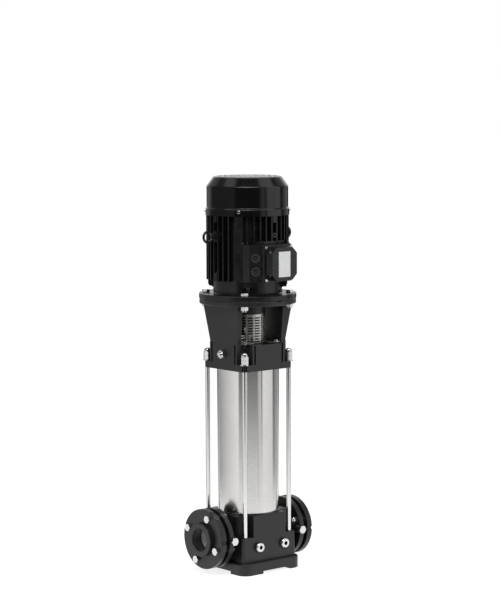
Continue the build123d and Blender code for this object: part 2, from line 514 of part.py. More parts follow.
def top_chamber():
    """Spacer ring over the last stage, with the spider that holds the shaft bush."""
    high = HEAD_CEILING
    outer = CHAMBER_D - 2 * SPACER_IN
    inner = outer - 2 * SPACER_WALL
    low = STACK_TOP + BUSH_LOW
    solid = ring(outer, inner, STACK_TOP, high)
    solid += ring(CHAMBER_D, inner, STACK_TOP, STACK_TOP + PLATE_T)
    solid += ring(BUSH_D + 2 * SPIDER_WALL, BUSH_D, low, STACK_TOP + BUSH_HIGH)
    for k in range(3):
        arm = slab(BUSH_D / 2 + 3, outer / 2 - 1, -SPIDER_ARM / 2, SPIDER_ARM / 2,
                   low + 2, low + 2 + SPIDER_H)
        solid += Rot(0, 0, 30 + 120 * k) * arm
    window = slab(inner / 2 - 1, outer / 2 + 1, -14, 14, STACK_TOP + BUSH_HIGH + 6, high - 18)
    for k in range(6):
        solid -= Rot(0, 0, 60 * k) * window
    return solid


def shaft_bush():
    return ring(BUSH_D, SPACER_D + 2 * RUN, STACK_TOP + BUSH_LOW, STACK_TOP + BUSH_HIGH)


def stack_straps():
    """Flat straps that hold the stages together."""
    shell = ring(CHAMBER_D + 2 * STRAP_T, CHAMBER_D, STACK_Z - PLATE_T, STACK_TOP + PLATE_T)
    strap = shell & slab(0, CHAMBER_D, -STRAP_W / 2, STRAP_W / 2, STACK_Z - 20, STACK_TOP + 20)
    return [Rot(0, 0, 60 + 120 * k) * strap for k in range(3)]


def pump_shaft():
    return rod(SHAFT_D, STACK_Z - 12, COUPLING_LOW - 10) + rod(
        PUMP_END_D, COUPLING_LOW - 10, PUMP_END_Z)


def impeller(stage):
    """Closed impeller: eye skirt, two shrouds, hub and backward-swept vanes."""
    low = STACK_Z + stage * PITCH
    eye, tip, hub = EYE_D / 2, IMPELLER_D / 2, HUB_OUT_D / 2
    front, back = low + SHROUD_LOW, low + SHROUD_HIGH
    skirt = revolved([(eye - 2, low - PLATE_T), (eye, low - PLATE_T), (eye, front + 1),
                      (eye + 5, front + 6), (tip, front + 10), (tip, front + 10 + SHROUD_T),
                      (eye + 4, front + 6 + SHROUD_T), (eye - 2, front + 3)])
    solid = skirt + ring(IMPELLER_D, SHAFT_D, back - SHROUD_T, back)
    solid += revolved([(SHAFT_D / 2, front + 2), (hub - 2, front + 2), (hub, front + 6),
                       (hub, back + 2), (SHAFT_D / 2, back + 2)])
    path = ThreePointArc((eye - 6, 0), (41, 8), (50.7, 29))
    trimmed = revolved([(eye - 8, front + 5), (eye + 4, front + 7), (tip + 5, front + 11.5),
                        (tip + 5, back - 1), (eye - 8, back - 1)])
    vane = extrude(SlotArc(path, VANE_T), back - front) & Pos(0, 0, -front) * trimmed
    for k in range(VANES):
        solid += Location((0, 0, front), (0, 0, k * 360 / VANES)) * vane
    return solid


def impellers():
    return [impeller(k) for k in range(STAGES)]


def shaft_spacers():
    hub_top = STACK_Z + SHROUD_HIGH + 2
    hub_bottom = STACK_Z + SHROUD_LOW + 2
    out = [ring(SPACER_D, SHAFT_D, hub_top + k * PITCH, hub_bottom + (k + 1) * PITCH)
           for k in range(STAGES - 1)]
    out.append(ring(SPACER_D, SHAFT_D, hub_top + (STAGES - 1) * PITCH, HEAD_CEILING + 4))
    return out


def shaft_nut():
    top = STACK_Z + SHROUD_LOW + 2
    return hex_nut(24, top - 10, top, SHAFT_D)


def seal_seat():
    return ring(SEAL_BORE_D - 2 * SLIP, SHAFT_D + 3, SEAL_FACE + GAP, FLOOR_Z)


def seal_ring():
    """Rotating head of the shaft seal on its collar."""
    low = HEAD_CEILING + 4
    shaft, collar, body, nose = (d / 2 for d in (SHAFT_D, SEAL_COLLAR_D, SEAL_BODY_D, SEAL_NOSE_D))
    return revolved([(shaft, low), (collar, low), (collar, low + 10), (body, low + 12),
                     (body, SEAL_FACE - 4), (nose, SEAL_FACE - 3), (nose, SEAL_FACE),
                     (shaft, SEAL_FACE)])


def seal_cover():
    plate = ring(SEAL_COVER_D, SHAFT_D + 1, FLOOR_Z, FLOOR_Z + SEAL_COVER_T)
    plate = fillet(plate.faces().sort_by(Axis.Z)[-1].edges().sort_by(SortBy.LENGTH)[-1], 1.5)
    return plate


# ---- coupling --------------------------------------------------------------------------------
def coupling_half(face):
    """Half shell that clamps both shaft ends; face is -1 for the front, 1 for the back."""
    body = rod(COUPLING_D, COUPLING_LOW, COUPLING_HIGH)
    body = chamfer(body.edges().filter_by(GeomType.CIRCLE), 1.5)
    body -= rod(PUMP_END_D, COUPLING_LOW - 1, PUMP_END_Z + 1.5)
    body -= rod(MOTOR_END_D, PUMP_END_Z + 1.4, COUPLING_HIGH + 1)
    body &= slab(-COUPLING_D, COUPLING_D, face * COUPLING_SPLIT / 2, face * COUPLING_D,
                 COUPLING_LOW, COUPLING_HIGH)
    for sx in (-1, 1):
        for z in COUPLING_SCREW_Z:
            hole = rod(COUPLING_SCREW_D + 2 * SLIP, -40, 40)
            seat = rod(COUPLING_HEAD_D + 1, COUPLING_FLAT - 8, 40)
            body -= frontways(hole + seat if face < 0 else hole, sx * COUPLING_SCREW_X, z)
    return body


def coupling_screws():
    head = rod(COUPLING_HEAD_D, COUPLING_FLAT - 8, COUPLING_FLAT)
    head -= hex_bar(6, COUPLING_FLAT - 4, COUPLING_FLAT + 1)
    screw = head + rod(COUPLING_SCREW_D, -18, COUPLING_FLAT - 7)
    return [frontways(screw, sx * COUPLING_SCREW_X, z) for sx in (-1, 1) for z in COUPLING_SCREW_Z]


def coupling_guard(face):
    """Slotted half shell with a tab at each side; face is -1 for the front, 1 for the back."""
    shell = ring(GUARD_D, GUARD_D - 2 * GUARD_T, WINDOW_SILL, GUARD_TOP)
    shell &= slab(-GUARD_D, GUARD_D, -GAP / 2, -GUARD_D, WINDOW_SILL, GUARD_TOP)
    bar = degrees(GUARD_BAR / (GUARD_D / 2))
    half = radians(GUARD_SPAN - bar) / 2
    reach = GUARD_D
    wedge = make_face(Polyline([(0, 0), (-reach * sin(half), -reach * cos(half)),
                                (reach * sin(half), -reach * cos(half))], close=True))
    slot = extrude(wedge, GUARD_SLOT_H)
    rows = Part() + [Pos(0, 0, GUARD_FIRST + k * GUARD_PITCH) * slot for k in range(GUARD_ROWS)]
    first = GUARD_TURN - (GUARD_COLUMNS - 1) / 2 * GUARD_SPAN
    for k in range(GUARD_COLUMNS):
        shell -= Rot(0, 0, first + k * GUARD_SPAN) * rows
    for sx in (-1, 1):
        reach_x = GUARD_TAB_X + GUARD_TAB_W / 2
        tab = slab(sx * GUARD_D / 4, sx * reach_x, -GUARD_TAB_Y - GUARD_TAB_W / 2, -GUARD_D / 4,
                   WINDOW_SILL, WINDOW_SILL + GUARD_T)
        tab -= rod(GUARD_D - 1, WINDOW_SILL - 1, GUARD_TOP)
        tab -= rod(SCREW_D + 2 * SLIP, WINDOW_SILL - 1, GUARD_TOP, sx * GUARD_TAB_X, -GUARD_TAB_Y)
        shell += tab
    return shell if face < 0 else mirror(shell, Plane.XZ)


def guard_screws():
    low = WINDOW_SILL + GUARD_T
    screw = rod(GUARD_SCREW_D, low, low + GUARD_SCREW_T)
    screw = fillet(screw.faces().sort_by(Axis.Z)[-1].edges(), 1.5)
    screw -= Pos(0, 0, low + GUARD_SCREW_T) * Box(1.6, GUARD_SCREW_D + 2, 3)
    return [Pos(sx * GUARD_TAB_X, sy * GUARD_TAB_Y, 0) * screw for sx, sy in CORNERS]


# ---- motor --------------------------------------------------------------------------------
def drive_end_shield():
    solid = revolved([
        (50, MOTOR_FACE - 8), (SPIGOT_D / 2 - 1, STOOL_TOP - SPIGOT_T),
        (SPIGOT_D / 2, STOOL_TOP - SPIGOT_T), (SPIGOT_D / 2, STOOL_TOP),
        (MOTOR_FLANGE_D / 2 - 1.5, STOOL_TOP), (MOTOR_FLANGE_D / 2, STOOL_TOP + 1.5),
        (MOTOR_FLANGE_D / 2, MOTOR_FACE - 1.5), (MOTOR_FLANGE_D / 2 - 1.5, MOTOR_FACE),
        (SHIELD_NECK_D / 2 + 2, MOTOR_FACE), (SHIELD_NECK_D / 2, MOTOR_FACE + 2),
        (SHIELD_NECK_D / 2, FRAME_Z), (FRAME_BORE_D / 2, FRAME_Z),
        (FRAME_BORE_D / 2 - 6, MOTOR_FACE + 3), (BEARING_D / 2 + 8, MOTOR_FACE + 3),
        (BEARING_D / 2 + 8, BEARING_LOW + BEARING_W + 3), (BEARING_D / 2, BEARING_LOW + BEARING_W + 3),
        (BEARING_D / 2, BEARING_LOW), (19, BEARING_LOW), (19, MOTOR_FACE - 8)])
    bolt_at = MOTOR_PCD / 2 * cos(pi / 4)
    solid -= at_corners(rod(MOTOR_HOLE_D, STOOL_TOP - 1, MOTOR_FACE + 1), bolt_at)
    solid -= at_corners(rod(SHIELD_SCALLOP_D, MOTOR_FACE, MOTOR_FACE + SHIELD_SCALLOP_H), bolt_at)
    neck = SHIELD_NECK_D / 2
    outline = make_face(Polyline([
        (neck - 5, 0, SHIELD_LUG_LOW), (neck, 0, SHIELD_LUG_LOW), (SHIELD_LUG_R, 0, SHIELD_LUG_STEP),
        (SHIELD_LUG_R, 0, FRAME_Z), (neck - 5, 0, FRAME_Z)], close=True))
    lug = extrude(outline, SHIELD_LUG_W / 2, both=True)
    at = SHIELD_LUG_R - SHIELD_BOLT_D
    lug -= rod(SHIELD_BOLT_AF / cos(pi / 6) + 2, SHIELD_LUG_LOW, SHIELD_LUG_STEP, at)
    lug -= rod(SHIELD_BOLT_D + 2 * SLIP, SHIELD_LUG_LOW, FRAME_Z + 1, at)
    for turn in lug_turns(SHIELD_LUG_ANGLE):
        solid += Rot(0, 0, turn) * lug
    return solid


def lug_turns(angle):
    """The four places mirrored from one angle off the X axis."""
    return (angle, 180 - angle, 180 + angle, -angle)


def shield_bolts():
    """Bolts that go up through the shield's lugs into the frame."""
    bolt = hex_nut(SHIELD_BOLT_AF, SHIELD_LUG_STEP - SHIELD_BOLT_HEAD, SHIELD_LUG_STEP)
    bolt += rod(SHIELD_BOLT_D, SHIELD_LUG_STEP - 1, FRAME_Z + 2 * SHIELD_BOLT_D)
    bolt = Pos(SHIELD_LUG_R - SHIELD_BOLT_D, 0, 0) * bolt
    return [Rot(0, 0, turn) * bolt for turn in lug_turns(SHIELD_LUG_ANGLE)]


def fin_turns():
    """Fin angles left free by the broad ribs and the side pads."""
    step = 360 / FINS
    turns = []
    for k in range(FINS):
        turn = (k + 0.5) * step
        clear = [abs((turn - rib + 180) % 360 - 180) for rib in lug_turns(RIB_ANGLE)]
        if min(clear) > degrees(RIB_W / FIN_D) + 1.5:
            turns.append(turn)
    return turns


def terminal_pad(low, high, front_y, front_half):
    """Slanted block under the terminal box, from the frame out to the box's back face."""
    outline = [(-TBOX_ROOT_HALF, -40), (-TBOX_ROOT_HALF, -TBOX_ROOT), (-front_half, -front_y),
               (front_half, -front_y), (TBOX_ROOT_HALF, -TBOX_ROOT), (TBOX_ROOT_HALF, -40)]
    face = make_face(Polyline(outline, close=True))
    return Pos(0, 0, low) * extrude(face, high - low)


def fin_block(low, high, width, reach=FIN_D / 2):
    """Upright block on the frame along +X, from inside its wall out to the fins' edge."""
    return slab(FIN_ROOT, reach, -width / 2, width / 2, low, high)


def motor_frame():
    def fin(width):
        return Pos((FIN_D / 2 + FIN_ROOT) / 2, 0) * Rectangle(FIN_D / 2 - FIN_ROOT, width)

    section = Circle(FRAME_CORE_D / 2) + [Rot(0, 0, t) * fin(FIN_T) for t in fin_turns()]
    section += [Rot(0, 0, t) * fin(RIB_W) for t in lug_turns(RIB_ANGLE)]
    section = section & Circle(FIN_D / 2)
    solid = Pos(0, 0, FRAME_Z) * extrude(section, FIN_TOP - FRAME_Z)
    solid += rod(FRAME_CORE_D, FIN_TOP - 1, FRAME_TOP)
    cowl_bore = COWL_RIM_D / 2 - COWL_T - GAP
    top_rib = fin_block(FIN_TOP - 1, FRAME_TOP, RIB_W, cowl_bore)
    top_rib &= rod(2 * cowl_bore, FIN_TOP - 2, FRAME_TOP)
    for turn in lug_turns(RIB_ANGLE):
        solid += Rot(0, 0, turn) * top_rib
    # lugs that take the drive end shield's bolts
    bolt_block = fin_block(FRAME_Z, FRAME_Z + 2.5 * SHIELD_BOLT_D, SHIELD_LUG_W - 4, SHIELD_LUG_R)
    for turn in lug_turns(SHIELD_LUG_ANGLE):
        solid += Rot(0, 0, turn) * bolt_block
    # plain bosses: eye bolts at the sides, blocks under the cowl and at the lower edge
    edge = FIN_D / 2 + 1
    for side in (-1, 1):
        solid += sideways(rod(EYE_BOSS_D, FIN_ROOT, edge), side, z=EYE_Z)
    tab = fin_block(TAB_LOW, FIN_TOP, TAB_W, edge)
    for turn in (0, 90, 180, 270):
        solid += Rot(0, 0, turn) * tab
    foot = fin_block(FRAME_Z, FRAME_Z + FOOT_TAB_H, TAB_W, edge)
    foot = chamfer(foot.edges().filter_by(Axis.Y).sort_by(lambda e: e.center().X + e.center().Z)[-1],
                   FOOT_TAB_CUT)
    for turn in (0, 180):
        solid += Rot(0, 0, turn) * foot
    solid += frontways(rod(FRONT_BOSS_D, FIN_ROOT, edge), 0, FRONT_BOSS_Z)
    solid -= frontways(rod(FRONT_BOSS_BORE, edge - 12, edge + 1), 0, FRONT_BOSS_Z)
    # terminal box side
    core = rod(FRAME_CORE_D, FRAME_Z - 10, FRAME_TOP)
    reach = TBOX_ROOT_HALF + 4
    solid -= slab(-reach, reach, -TBOX_ROOT, -FIN_D, FRAME_Z - 1, TBOX_HIGH + 8) - core
    pad = terminal_pad(TBOX_LOW, TBOX_HIGH, TBOX_BACK, TBOX_BACK_HALF)
    solid += pad - rod(FRAME_CORE_D - FRAME_WALL, FRAME_Z - 1, FRAME_TOP)
    solid -= slab(-reach, reach, -TBOX_BACK, -FIN_D, FRAME_Z - 1, TBOX_HIGH + 8)
    solid = drill_cowl_holes(solid)
    bolt_hole = rod(SHIELD_BOLT_D + 2 * SLIP, FRAME_Z - 1, FRAME_Z + 2 * SHIELD_BOLT_D + 1,
                    SHIELD_LUG_R - SHIELD_BOLT_D)
    for turn in lug_turns(SHIELD_LUG_ANGLE):
        solid -= Rot(0, 0, turn) * bolt_hole
    solid -= rod(FRAME_BORE_D, FRAME_Z - 1, FRAME_TOP + 1)
    return solid - slab(-CABLE_HALF - 2, CABLE_HALF + 2, -TBOX_BACK - 1, -FRAME_BORE_D / 2 + 10,
                        CABLE_Z - CABLE_H - 2, CABLE_Z + CABLE_H + 2)


def stator_core():
    return ring(FRAME_BORE_D - 2 * SLIP, ROTOR_D + 2 * AIR_GAP, CORE_LOW, CORE_HIGH)


def stator_windings():
    outer, inner = FRAME_BORE_D - 2 * WINDING_IN, ROTOR_D + 12
    low = ring(outer, inner, CORE_LOW - WINDING_H, CORE_LOW)
    low = fillet(low.faces().sort_by(Axis.Z)[0].edges(), min(WINDING_ROUND, (outer - inner) / 6))
    high = mirror(low, Plane.XY.offset((CORE_LOW + CORE_HIGH) / 2))
    return [low, high]


def rear_end_shield():
    solid = revolved([
        (BEARING_D / 2, BEARING_HIGH), (BEARING_D / 2, BEARING_HIGH + BEARING_W),
        (19, BEARING_HIGH + BEARING_W), (19, BEARING_HIGH + BEARING_W + 4),
        (BEARING_D / 2 + 6, BEARING_HIGH + BEARING_W + 4), (BEARING_D / 2 + 8, FRAME_TOP + 10),
        (FRAME_CORE_D / 2 - 2, FRAME_TOP + 8), (FRAME_CORE_D / 2, FRAME_TOP + 6),
        (FRAME_CORE_D / 2, FRAME_TOP), (FRAME_BORE_D / 2 - 2, FRAME_TOP),
        (BEARING_D / 2 + 12, FRAME_TOP + 3), (BEARING_D / 2 + 8, BEARING_HIGH)])
    return solid


def outer_races():
    return [ring(BEARING_D, BEARING_D - 9, z, z + BEARING_W) for z in (BEARING_LOW, BEARING_HIGH)]


def inner_races():
    return [ring(BEARING_BORE_D + 9, BEARING_BORE_D, z, z + BEARING_W)
            for z in (BEARING_LOW, BEARING_HIGH)]


def ball_cages():
    """Ball sets in their pressed cages, one for each bearing."""
    pitch = (BEARING_D + BEARING_BORE_D) / 4
    out = []
    for low in (BEARING_LOW, BEARING_HIGH):
        mid = low + BEARING_W / 2
        cage = ring(2 * pitch + CAGE_T, 2 * pitch - CAGE_T, mid - CAGE_H / 2, mid + CAGE_H / 2)
        turns = [radians(360 * k / BALLS) for k in range(BALLS)]
        places = [Pos(pitch * cos(t), pitch * sin(t), mid) for t in turns]
        pocket = Rot(0, 90, 0) * rod(BALL_D + 2 * RUN, pitch - BALL_D, pitch + BALL_D)
        for k in range(BALLS):
            cage -= Pos(0, 0, mid) * Rot(0, 0, 360 * k / BALLS) * pocket
        out.append(cage)
        out += [place * Sphere(BALL_D / 2 - RUN) for place in places]
    return out


def motor_shaft():
    solid = rod(MOTOR_END_D, MOTOR_END_Z, MOTOR_FACE - 4)
    solid += rod(BEARING_BORE_D, MOTOR_FACE - 4, BEARING_HIGH + BEARING_W + 2)
    solid += rod(BEARING_BORE_D + 8, BEARING_LOW + BEARING_W, BEARING_HIGH)
    solid += rod(FAN_BORE, BEARING_HIGH + BEARING_W + 1, FAN_Z + 24)
    return solid


def rotor_core():
    return ring(ROTOR_D, BEARING_BORE_D + 8, CORE_LOW, CORE_HIGH) + ring(
        ROTOR_D - 6, ROTOR_D - 34, CORE_LOW - 10, CORE_HIGH + 10)


def fan():
    """Radial fan: hub, flat back plate and straight tapered blades."""
    solid = ring(2 * FAN_BORE, FAN_BORE, FAN_Z, FAN_Z + 22)
    solid += ring(FAN_D - 40, FAN_BORE + 8, FAN_Z, FAN_Z + 2.5)
    blade = make_face(Polyline([(18, 0, FAN_Z), (FAN_D / 2, 0, FAN_Z), (FAN_D / 2, 0, FAN_Z + 16),
                                (FAN_D / 2 - 12, 0, FAN_Z + 26), (18, 0, FAN_Z + 18)], close=True))
    blade = extrude(blade, 1.25, both=True) - rod(FAN_BORE, FAN_Z - 1, FAN_Z + 30)
    for k in range(FAN_BLADES):
        solid += Rot(0, 0, k * 360 / FAN_BLADES) * blade
    return solid


def fan_cowl():
    """Pressed cowl: rim bead, straight skirt, conical shoulder and slotted top."""
    def profile(inset, low):
        rim, skirt, top = (d / 2 - inset for d in (COWL_RIM_D, COWL_D, COWL_TOP_D))
        solid = revolved([
            (0, low), (rim, low), (rim, COWL_RIM_TOP - 2), (skirt, COWL_RIM_TOP + 2),
            (skirt, COWL_SHOULDER - inset / 2), (top, COWL_TOP - inset), (0, COWL_TOP - inset)])
        hoops = solid.edges().filter_by(GeomType.CIRCLE).sort_by(Axis.Z)
        solid = fillet(hoops[-1], COWL_TOP_ROUND - inset)
        hoops = solid.edges().filter_by(GeomType.CIRCLE).sort_by(Axis.Z)
        shoulder = hoops.filter_by(lambda e: abs(e.center().Z - COWL_SHOULDER) < 2)
        solid = fillet(shoulder, COWL_SHOULDER_ROUND - inset)
        hoops = solid.edges().filter_by(GeomType.CIRCLE)
        rims = hoops.filter_by(lambda e: abs(e.center().Z - COWL_RIM_TOP) < 3)
        return fillet(rims, COWL_RIM_ROUND)

    solid = profile(0, FIN_TOP) - profile(COWL_T, FIN_TOP - 1)
    for radius, count, width in ((26, 6, 16), (42, 10, 16), (58, 14, 16), (73, 18, 16)):
        slot = Pos(radius, 0, COWL_TOP) * Box(7.5, width, 8)
        for k in range(count):
            solid -= Rot(0, 0, k * 360 / count) * slot
    return drill_cowl_holes(solid)


def drill_cowl_holes(solid):
    """Holes for the cowl's screws, through whatever lies in their way."""
    hole = sideways(rod(SCREW_D + 2 * SLIP, COWL_RIM_D / 2 - SCREW_LENGTH - 1, COWL_RIM_D), 1,
                    z=COWL_SCREW_Z)
    for turn in lug_turns(RIB_ANGLE):
        solid -= Rot(0, 0, turn) * hole
    return solid


def radial_screw(turn):
    """Pan-head screw driven inwards through the cowl's rim."""
    low = COWL_RIM_D / 2
    head = rod(SCREW_HEAD_D, low, low + SCREW_HEAD_T)
    head = fillet(head.faces().sort_by(Axis.Z)[-1].edges(), 1.2)
    head -= Pos(0, 0, low + SCREW_HEAD_T) * Box(1.4, 10, 2)
    return Rot(0, 0, turn) * sideways(head + rod(SCREW_D, low - SCREW_LENGTH, low + 1), 1,
                                   z=COWL_SCREW_Z)


def cowl_screws():
    return [radial_screw(turn) for turn in lug_turns(RIB_ANGLE)]


def eye_bolts():
    """Lifting eyes screwed into the two side bosses."""
    seat = FIN_D / 2 + 1
    eye = Location((EYE_AT, 0, EYE_Z), (90, 0, 0)) * Torus(EYE_RING_D / 2, EYE_WIRE_D / 2)
    collar = sideways(rod(EYE_COLLAR_D, seat, seat + 4), 1, z=EYE_Z)
    stem = sideways(rod(EYE_STEM_D, seat + 3, EYE_AT - EYE_RING_D / 2), 1, z=EYE_Z)
    right = eye + collar + stem
    return [right, mirror(right, Plane.YZ)]


# ---- terminal box ----------------------------------------------------------------------------
def slanted_box(shrink):
    back, front, rim_y = TBOX_BACK_HALF - shrink, TBOX_FRONT_HALF - shrink, TBOX_RIM - TBOX_FRONT
    outline = [(-back, -TBOX_BACK), (-front, rim_y), (-front, -TBOX_FRONT),
               (front, -TBOX_FRONT), (front, rim_y), (back, -TBOX_BACK)]
    face = make_face(Polyline(outline, close=True))
    return Pos(0, 0, TBOX_LOW + shrink) * extrude(face, TBOX_HIGH - TBOX_LOW - 2 * shrink)


def terminal_box():
    hollow = slanted_box(TBOX_WALL)
    solid = slanted_box(0) - hollow
    wall_y = -TBOX_BACK - TBOX_WALL
    solid += slanted_box(0) & slab(-TBOX_BACK_HALF, TBOX_BACK_HALF, -TBOX_BACK, wall_y,
                                   TBOX_LOW, TBOX_HIGH)
    for z in ENTRY_Z:
        solid -= entry_place(Cylinder(ENTRY_D / 2, 4 * TBOX_WALL), z)
    return solid - slab(-CABLE_HALF, CABLE_HALF, -TBOX_BACK + 1, wall_y - 1,
                        CABLE_Z - CABLE_H, CABLE_Z + CABLE_H)


def entry_place(shape, z):
    """Put a shape drawn along Z on the left slanted wall, pointing outwards."""
    run, rise = TBOX_BACK_HALF - TBOX_FRONT_HALF, TBOX_FRONT - TBOX_RIM - TBOX_BACK
    slant = degrees(atan2(run, rise))
    x = -(TBOX_BACK_HALF + TBOX_FRONT_HALF) / 2
    y = -(TBOX_BACK + TBOX_FRONT - TBOX_RIM) / 2
    return Location((x, y, z)) * Rot(0, 0, slant) * Rot(0, -90, 0) * shape


def entry_plugs():
    """Blanking plugs screwed into the two cable entries."""
    plug = rod(ENTRY_D - 2 * SLIP, -TBOX_WALL, 0.5) + rod(ENTRY_D + 4, 0, 2)
    plug -= rod(ENTRY_D - 6, 1.5 - TBOX_WALL, 3)
    return [entry_place(plug, z) for z in ENTRY_Z]


def octagon(side, cut, depth):
    h = side / 2
    points = [(-h + cut, -h), (h - cut, -h), (h, -h + cut), (h, h - cut),
              (h - cut, h), (-h + cut, h), (-h, h - cut), (-h, -h + cut)]
    return extrude(make_face(Polyline(points, close=True)), depth, taper=LID_TAPER)


def lid_gasket():
    side = 2 * TBOX_FRONT_HALF
    opening = side - 2 * GASKET_LID_W
    flat = extrude(Rectangle(side, side) - Rectangle(opening, opening), GASKET_LID_T)
    return frontways(flat, 0, BOX_MID_Z, -TBOX_FRONT)


def terminal_box_lid():
    side = 2 * TBOX_FRONT_HALF
    seat = -TBOX_FRONT - GASKET_LID_T
    plate = extrude(RectangleRounded(side, side, 5), LID_T)
    raised = Pos(0, 0, LID_T - 1) * octagon(LID_SIDE, LID_CUT, LID_RAISE + 1)
    raised = fillet(raised.faces().sort_by(Axis.Z)[-1].edges(), 1.2)
    hollow = LID_T + LID_RAISE - LID_WALL + 1
    inside = Pos(0, 0, -1) * octagon(LID_SIDE - 2 * LID_WALL, LID_CUT - 1, hollow)
    return frontways(plate + raised - inside, 0, BOX_MID_Z, seat)


def lid_screws():
    low = LID_T
    screw = rod(7.5, low, low + 3)
    screw = fillet(screw.faces().sort_by(Axis.Z)[-1].edges(), 1)
    screw -= Pos(0, 0, low + 3) * Box(1.2, 9, 2)
    seat = -TBOX_FRONT - GASKET_LID_T
    return [frontways(Pos(sx * LID_SCREW_AT, sz * LID_SCREW_AT, 0) * screw, 0, BOX_MID_Z, seat)
            for sx, sz in CORNERS]


def terminal_board():
    """Moulded block with the six terminal studs."""
    floor_y = -TBOX_BACK - TBOX_WALL
    board_z = BOX_MID_Z + BOARD_UP
    block = frontways(extrude(Rectangle(BOARD_W, BOARD_H), BOARD_T), 0, board_z, floor_y)
    for x in (-BOARD_W / 3, 0, BOARD_W / 3):
        for z in (-BOARD_H / 4, BOARD_H / 4):
            block += frontways(rod(5, BOARD_T - 1, BOARD_T + 14), x, board_z + z, floor_y)
    return block


def motor_bolts():
    low = STOOL_TOP - STOOL_FLANGE_T - NUT_H - 4
    bolt = hex_nut(BOLT_AF, MOTOR_FACE, MOTOR_FACE + BOLT_HEAD_T) + rod(BOLT_D, low, MOTOR_FACE + 1)
    return at_corners(bolt, MOTOR_PCD / 2 * cos(pi / 4))


def hex_nuts():
    """All the plain nuts are one size: on the port bolts, the tie rods and the motor bolts."""
    def nut(low, turn=0):
        return hex_nut(NUT_AF, low, low + NUT_H, BOLT_D + 2 * SLIP, turn)

    out = [sideways(nut(FLANGE_BACK - NUT_H, 30), side, y=y, z=z)
           for side in (-1, 1) for y, z in port_bolt_places(side)]
    out += at_corners(nut(NUT_SEAT), ROD_AT)
    out += at_corners(nut(STOOL_TOP - STOOL_FLANGE_T - NUT_H), MOTOR_PCD / 2 * cos(pi / 4))
    return out


PIECES = {
    "base_casting": base_casting, "port_liners": port_liners,
    "suction_flange": lambda: companion_flange(-1),
    "discharge_flange": lambda: companion_flange(1),
    "flange_gaskets": flange_gaskets, "flange_bolts": flange_bolts,
    "gauge_plugs": gauge_plugs,
    "drain_plugs": drain_plugs, "plug_washers": plug_washers,
    "outer_sleeve": outer_sleeve, "sleeve_seals": sleeve_seals,
    "tie_rods": tie_rods, "tie_rod_washers": tie_rod_washers,
    "tie_rod_cap_nuts": tie_rod_cap_nuts,
    "motor_stool": motor_stool, "vent_plug": vent_plug, "vent_screw": vent_screw,
    "inlet_guide": inlet_guide, "stage_chambers": stage_chambers,
    "neck_rings": neck_rings, "top_chamber": top_chamber, "shaft_bush": shaft_bush,
    "stack_straps": stack_straps, "pump_shaft": pump_shaft, "impellers": impellers,
    "shaft_spacers": shaft_spacers, "shaft_nut": shaft_nut,
    "seal_seat": seal_seat, "seal_ring": seal_ring, "seal_cover": seal_cover,
    "coupling_half_front": lambda: coupling_half(-1),
    "coupling_half_back": lambda: coupling_half(1), "coupling_screws": coupling_screws,
    "coupling_guard_front": lambda: coupling_guard(-1),
    "coupling_guard_back": lambda: coupling_guard(1), "guard_screws": guard_screws,
    "drive_end_shield": drive_end_shield, "shield_bolts": shield_bolts,
    "motor_frame": motor_frame, "stator_core": stator_core,
    "stator_windings": stator_windings, "rear_end_shield": rear_end_shield,
    "outer_races": outer_races, "inner_races": inner_races, "ball_cages": ball_cages,
    "motor_shaft": motor_shaft, "rotor_core": rotor_core, "fan": fan,
    "fan_cowl": fan_cowl, "cowl_screws": cowl_screws, "eye_bolts": eye_bolts,
    "terminal_box": terminal_box, "entry_plugs": entry_plugs, "lid_gasket": lid_gasket,
    "terminal_box_lid": terminal_box_lid, "lid_screws": lid_screws,
    "terminal_board": terminal_board, "motor_bolts": motor_bolts, "hex_nuts": hex_nuts,
}

for name, make in PIECES.items():
    shape = make()
    if isinstance(shape, list):
        shape = Compound(children=shape)
    export_step(shape, f"parts/{name}.step")
    print(name, len(shape.solids()))
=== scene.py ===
"""Finishes, small forms and studio for a vertical multistage pump, laid out as an add-on.

Metres, +Z up along the shaft, origin in the middle of the foot's underside.
"""
from math import atan2, cos, pi, radians, sin

import bpy
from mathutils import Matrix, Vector


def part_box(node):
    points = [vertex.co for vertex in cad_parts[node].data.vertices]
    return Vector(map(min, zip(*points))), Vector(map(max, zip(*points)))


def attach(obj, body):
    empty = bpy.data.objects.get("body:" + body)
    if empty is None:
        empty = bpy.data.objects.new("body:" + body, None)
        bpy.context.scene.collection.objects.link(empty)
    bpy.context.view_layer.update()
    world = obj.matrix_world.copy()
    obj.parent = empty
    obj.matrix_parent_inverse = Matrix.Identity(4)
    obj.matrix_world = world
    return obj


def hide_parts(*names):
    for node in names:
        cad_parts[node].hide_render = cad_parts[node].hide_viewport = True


bl_info = {
    "name": "Multistage Pump Finisher",
    "version": (1, 0, 0),
    "blender": (4, 5, 0),
    "location": "View3D > Sidebar > Pump",
    "description": "Dresses the packed pump with finishes, small forms and a studio",
    "category": "Object",
}

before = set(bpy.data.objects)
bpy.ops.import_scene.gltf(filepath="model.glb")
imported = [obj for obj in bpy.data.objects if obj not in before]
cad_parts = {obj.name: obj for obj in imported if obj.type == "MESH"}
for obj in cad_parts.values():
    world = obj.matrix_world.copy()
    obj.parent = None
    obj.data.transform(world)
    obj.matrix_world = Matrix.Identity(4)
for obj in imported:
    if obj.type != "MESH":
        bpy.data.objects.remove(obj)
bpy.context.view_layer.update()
FIXED = "pump"  # body of the still parts
WELD = 1e-6  # vertices closer than this are merged
FLAT_ANGLE = radians(0.6)  # faces that turn by less than this are joined before edges are rounded
CAST_SMOOTH = radians(32.0)  # faces of the rounded copies that turn by less are shaded as one
SMALL_SMOOTH = radians(30.0)  # the same for the label plate and the threads

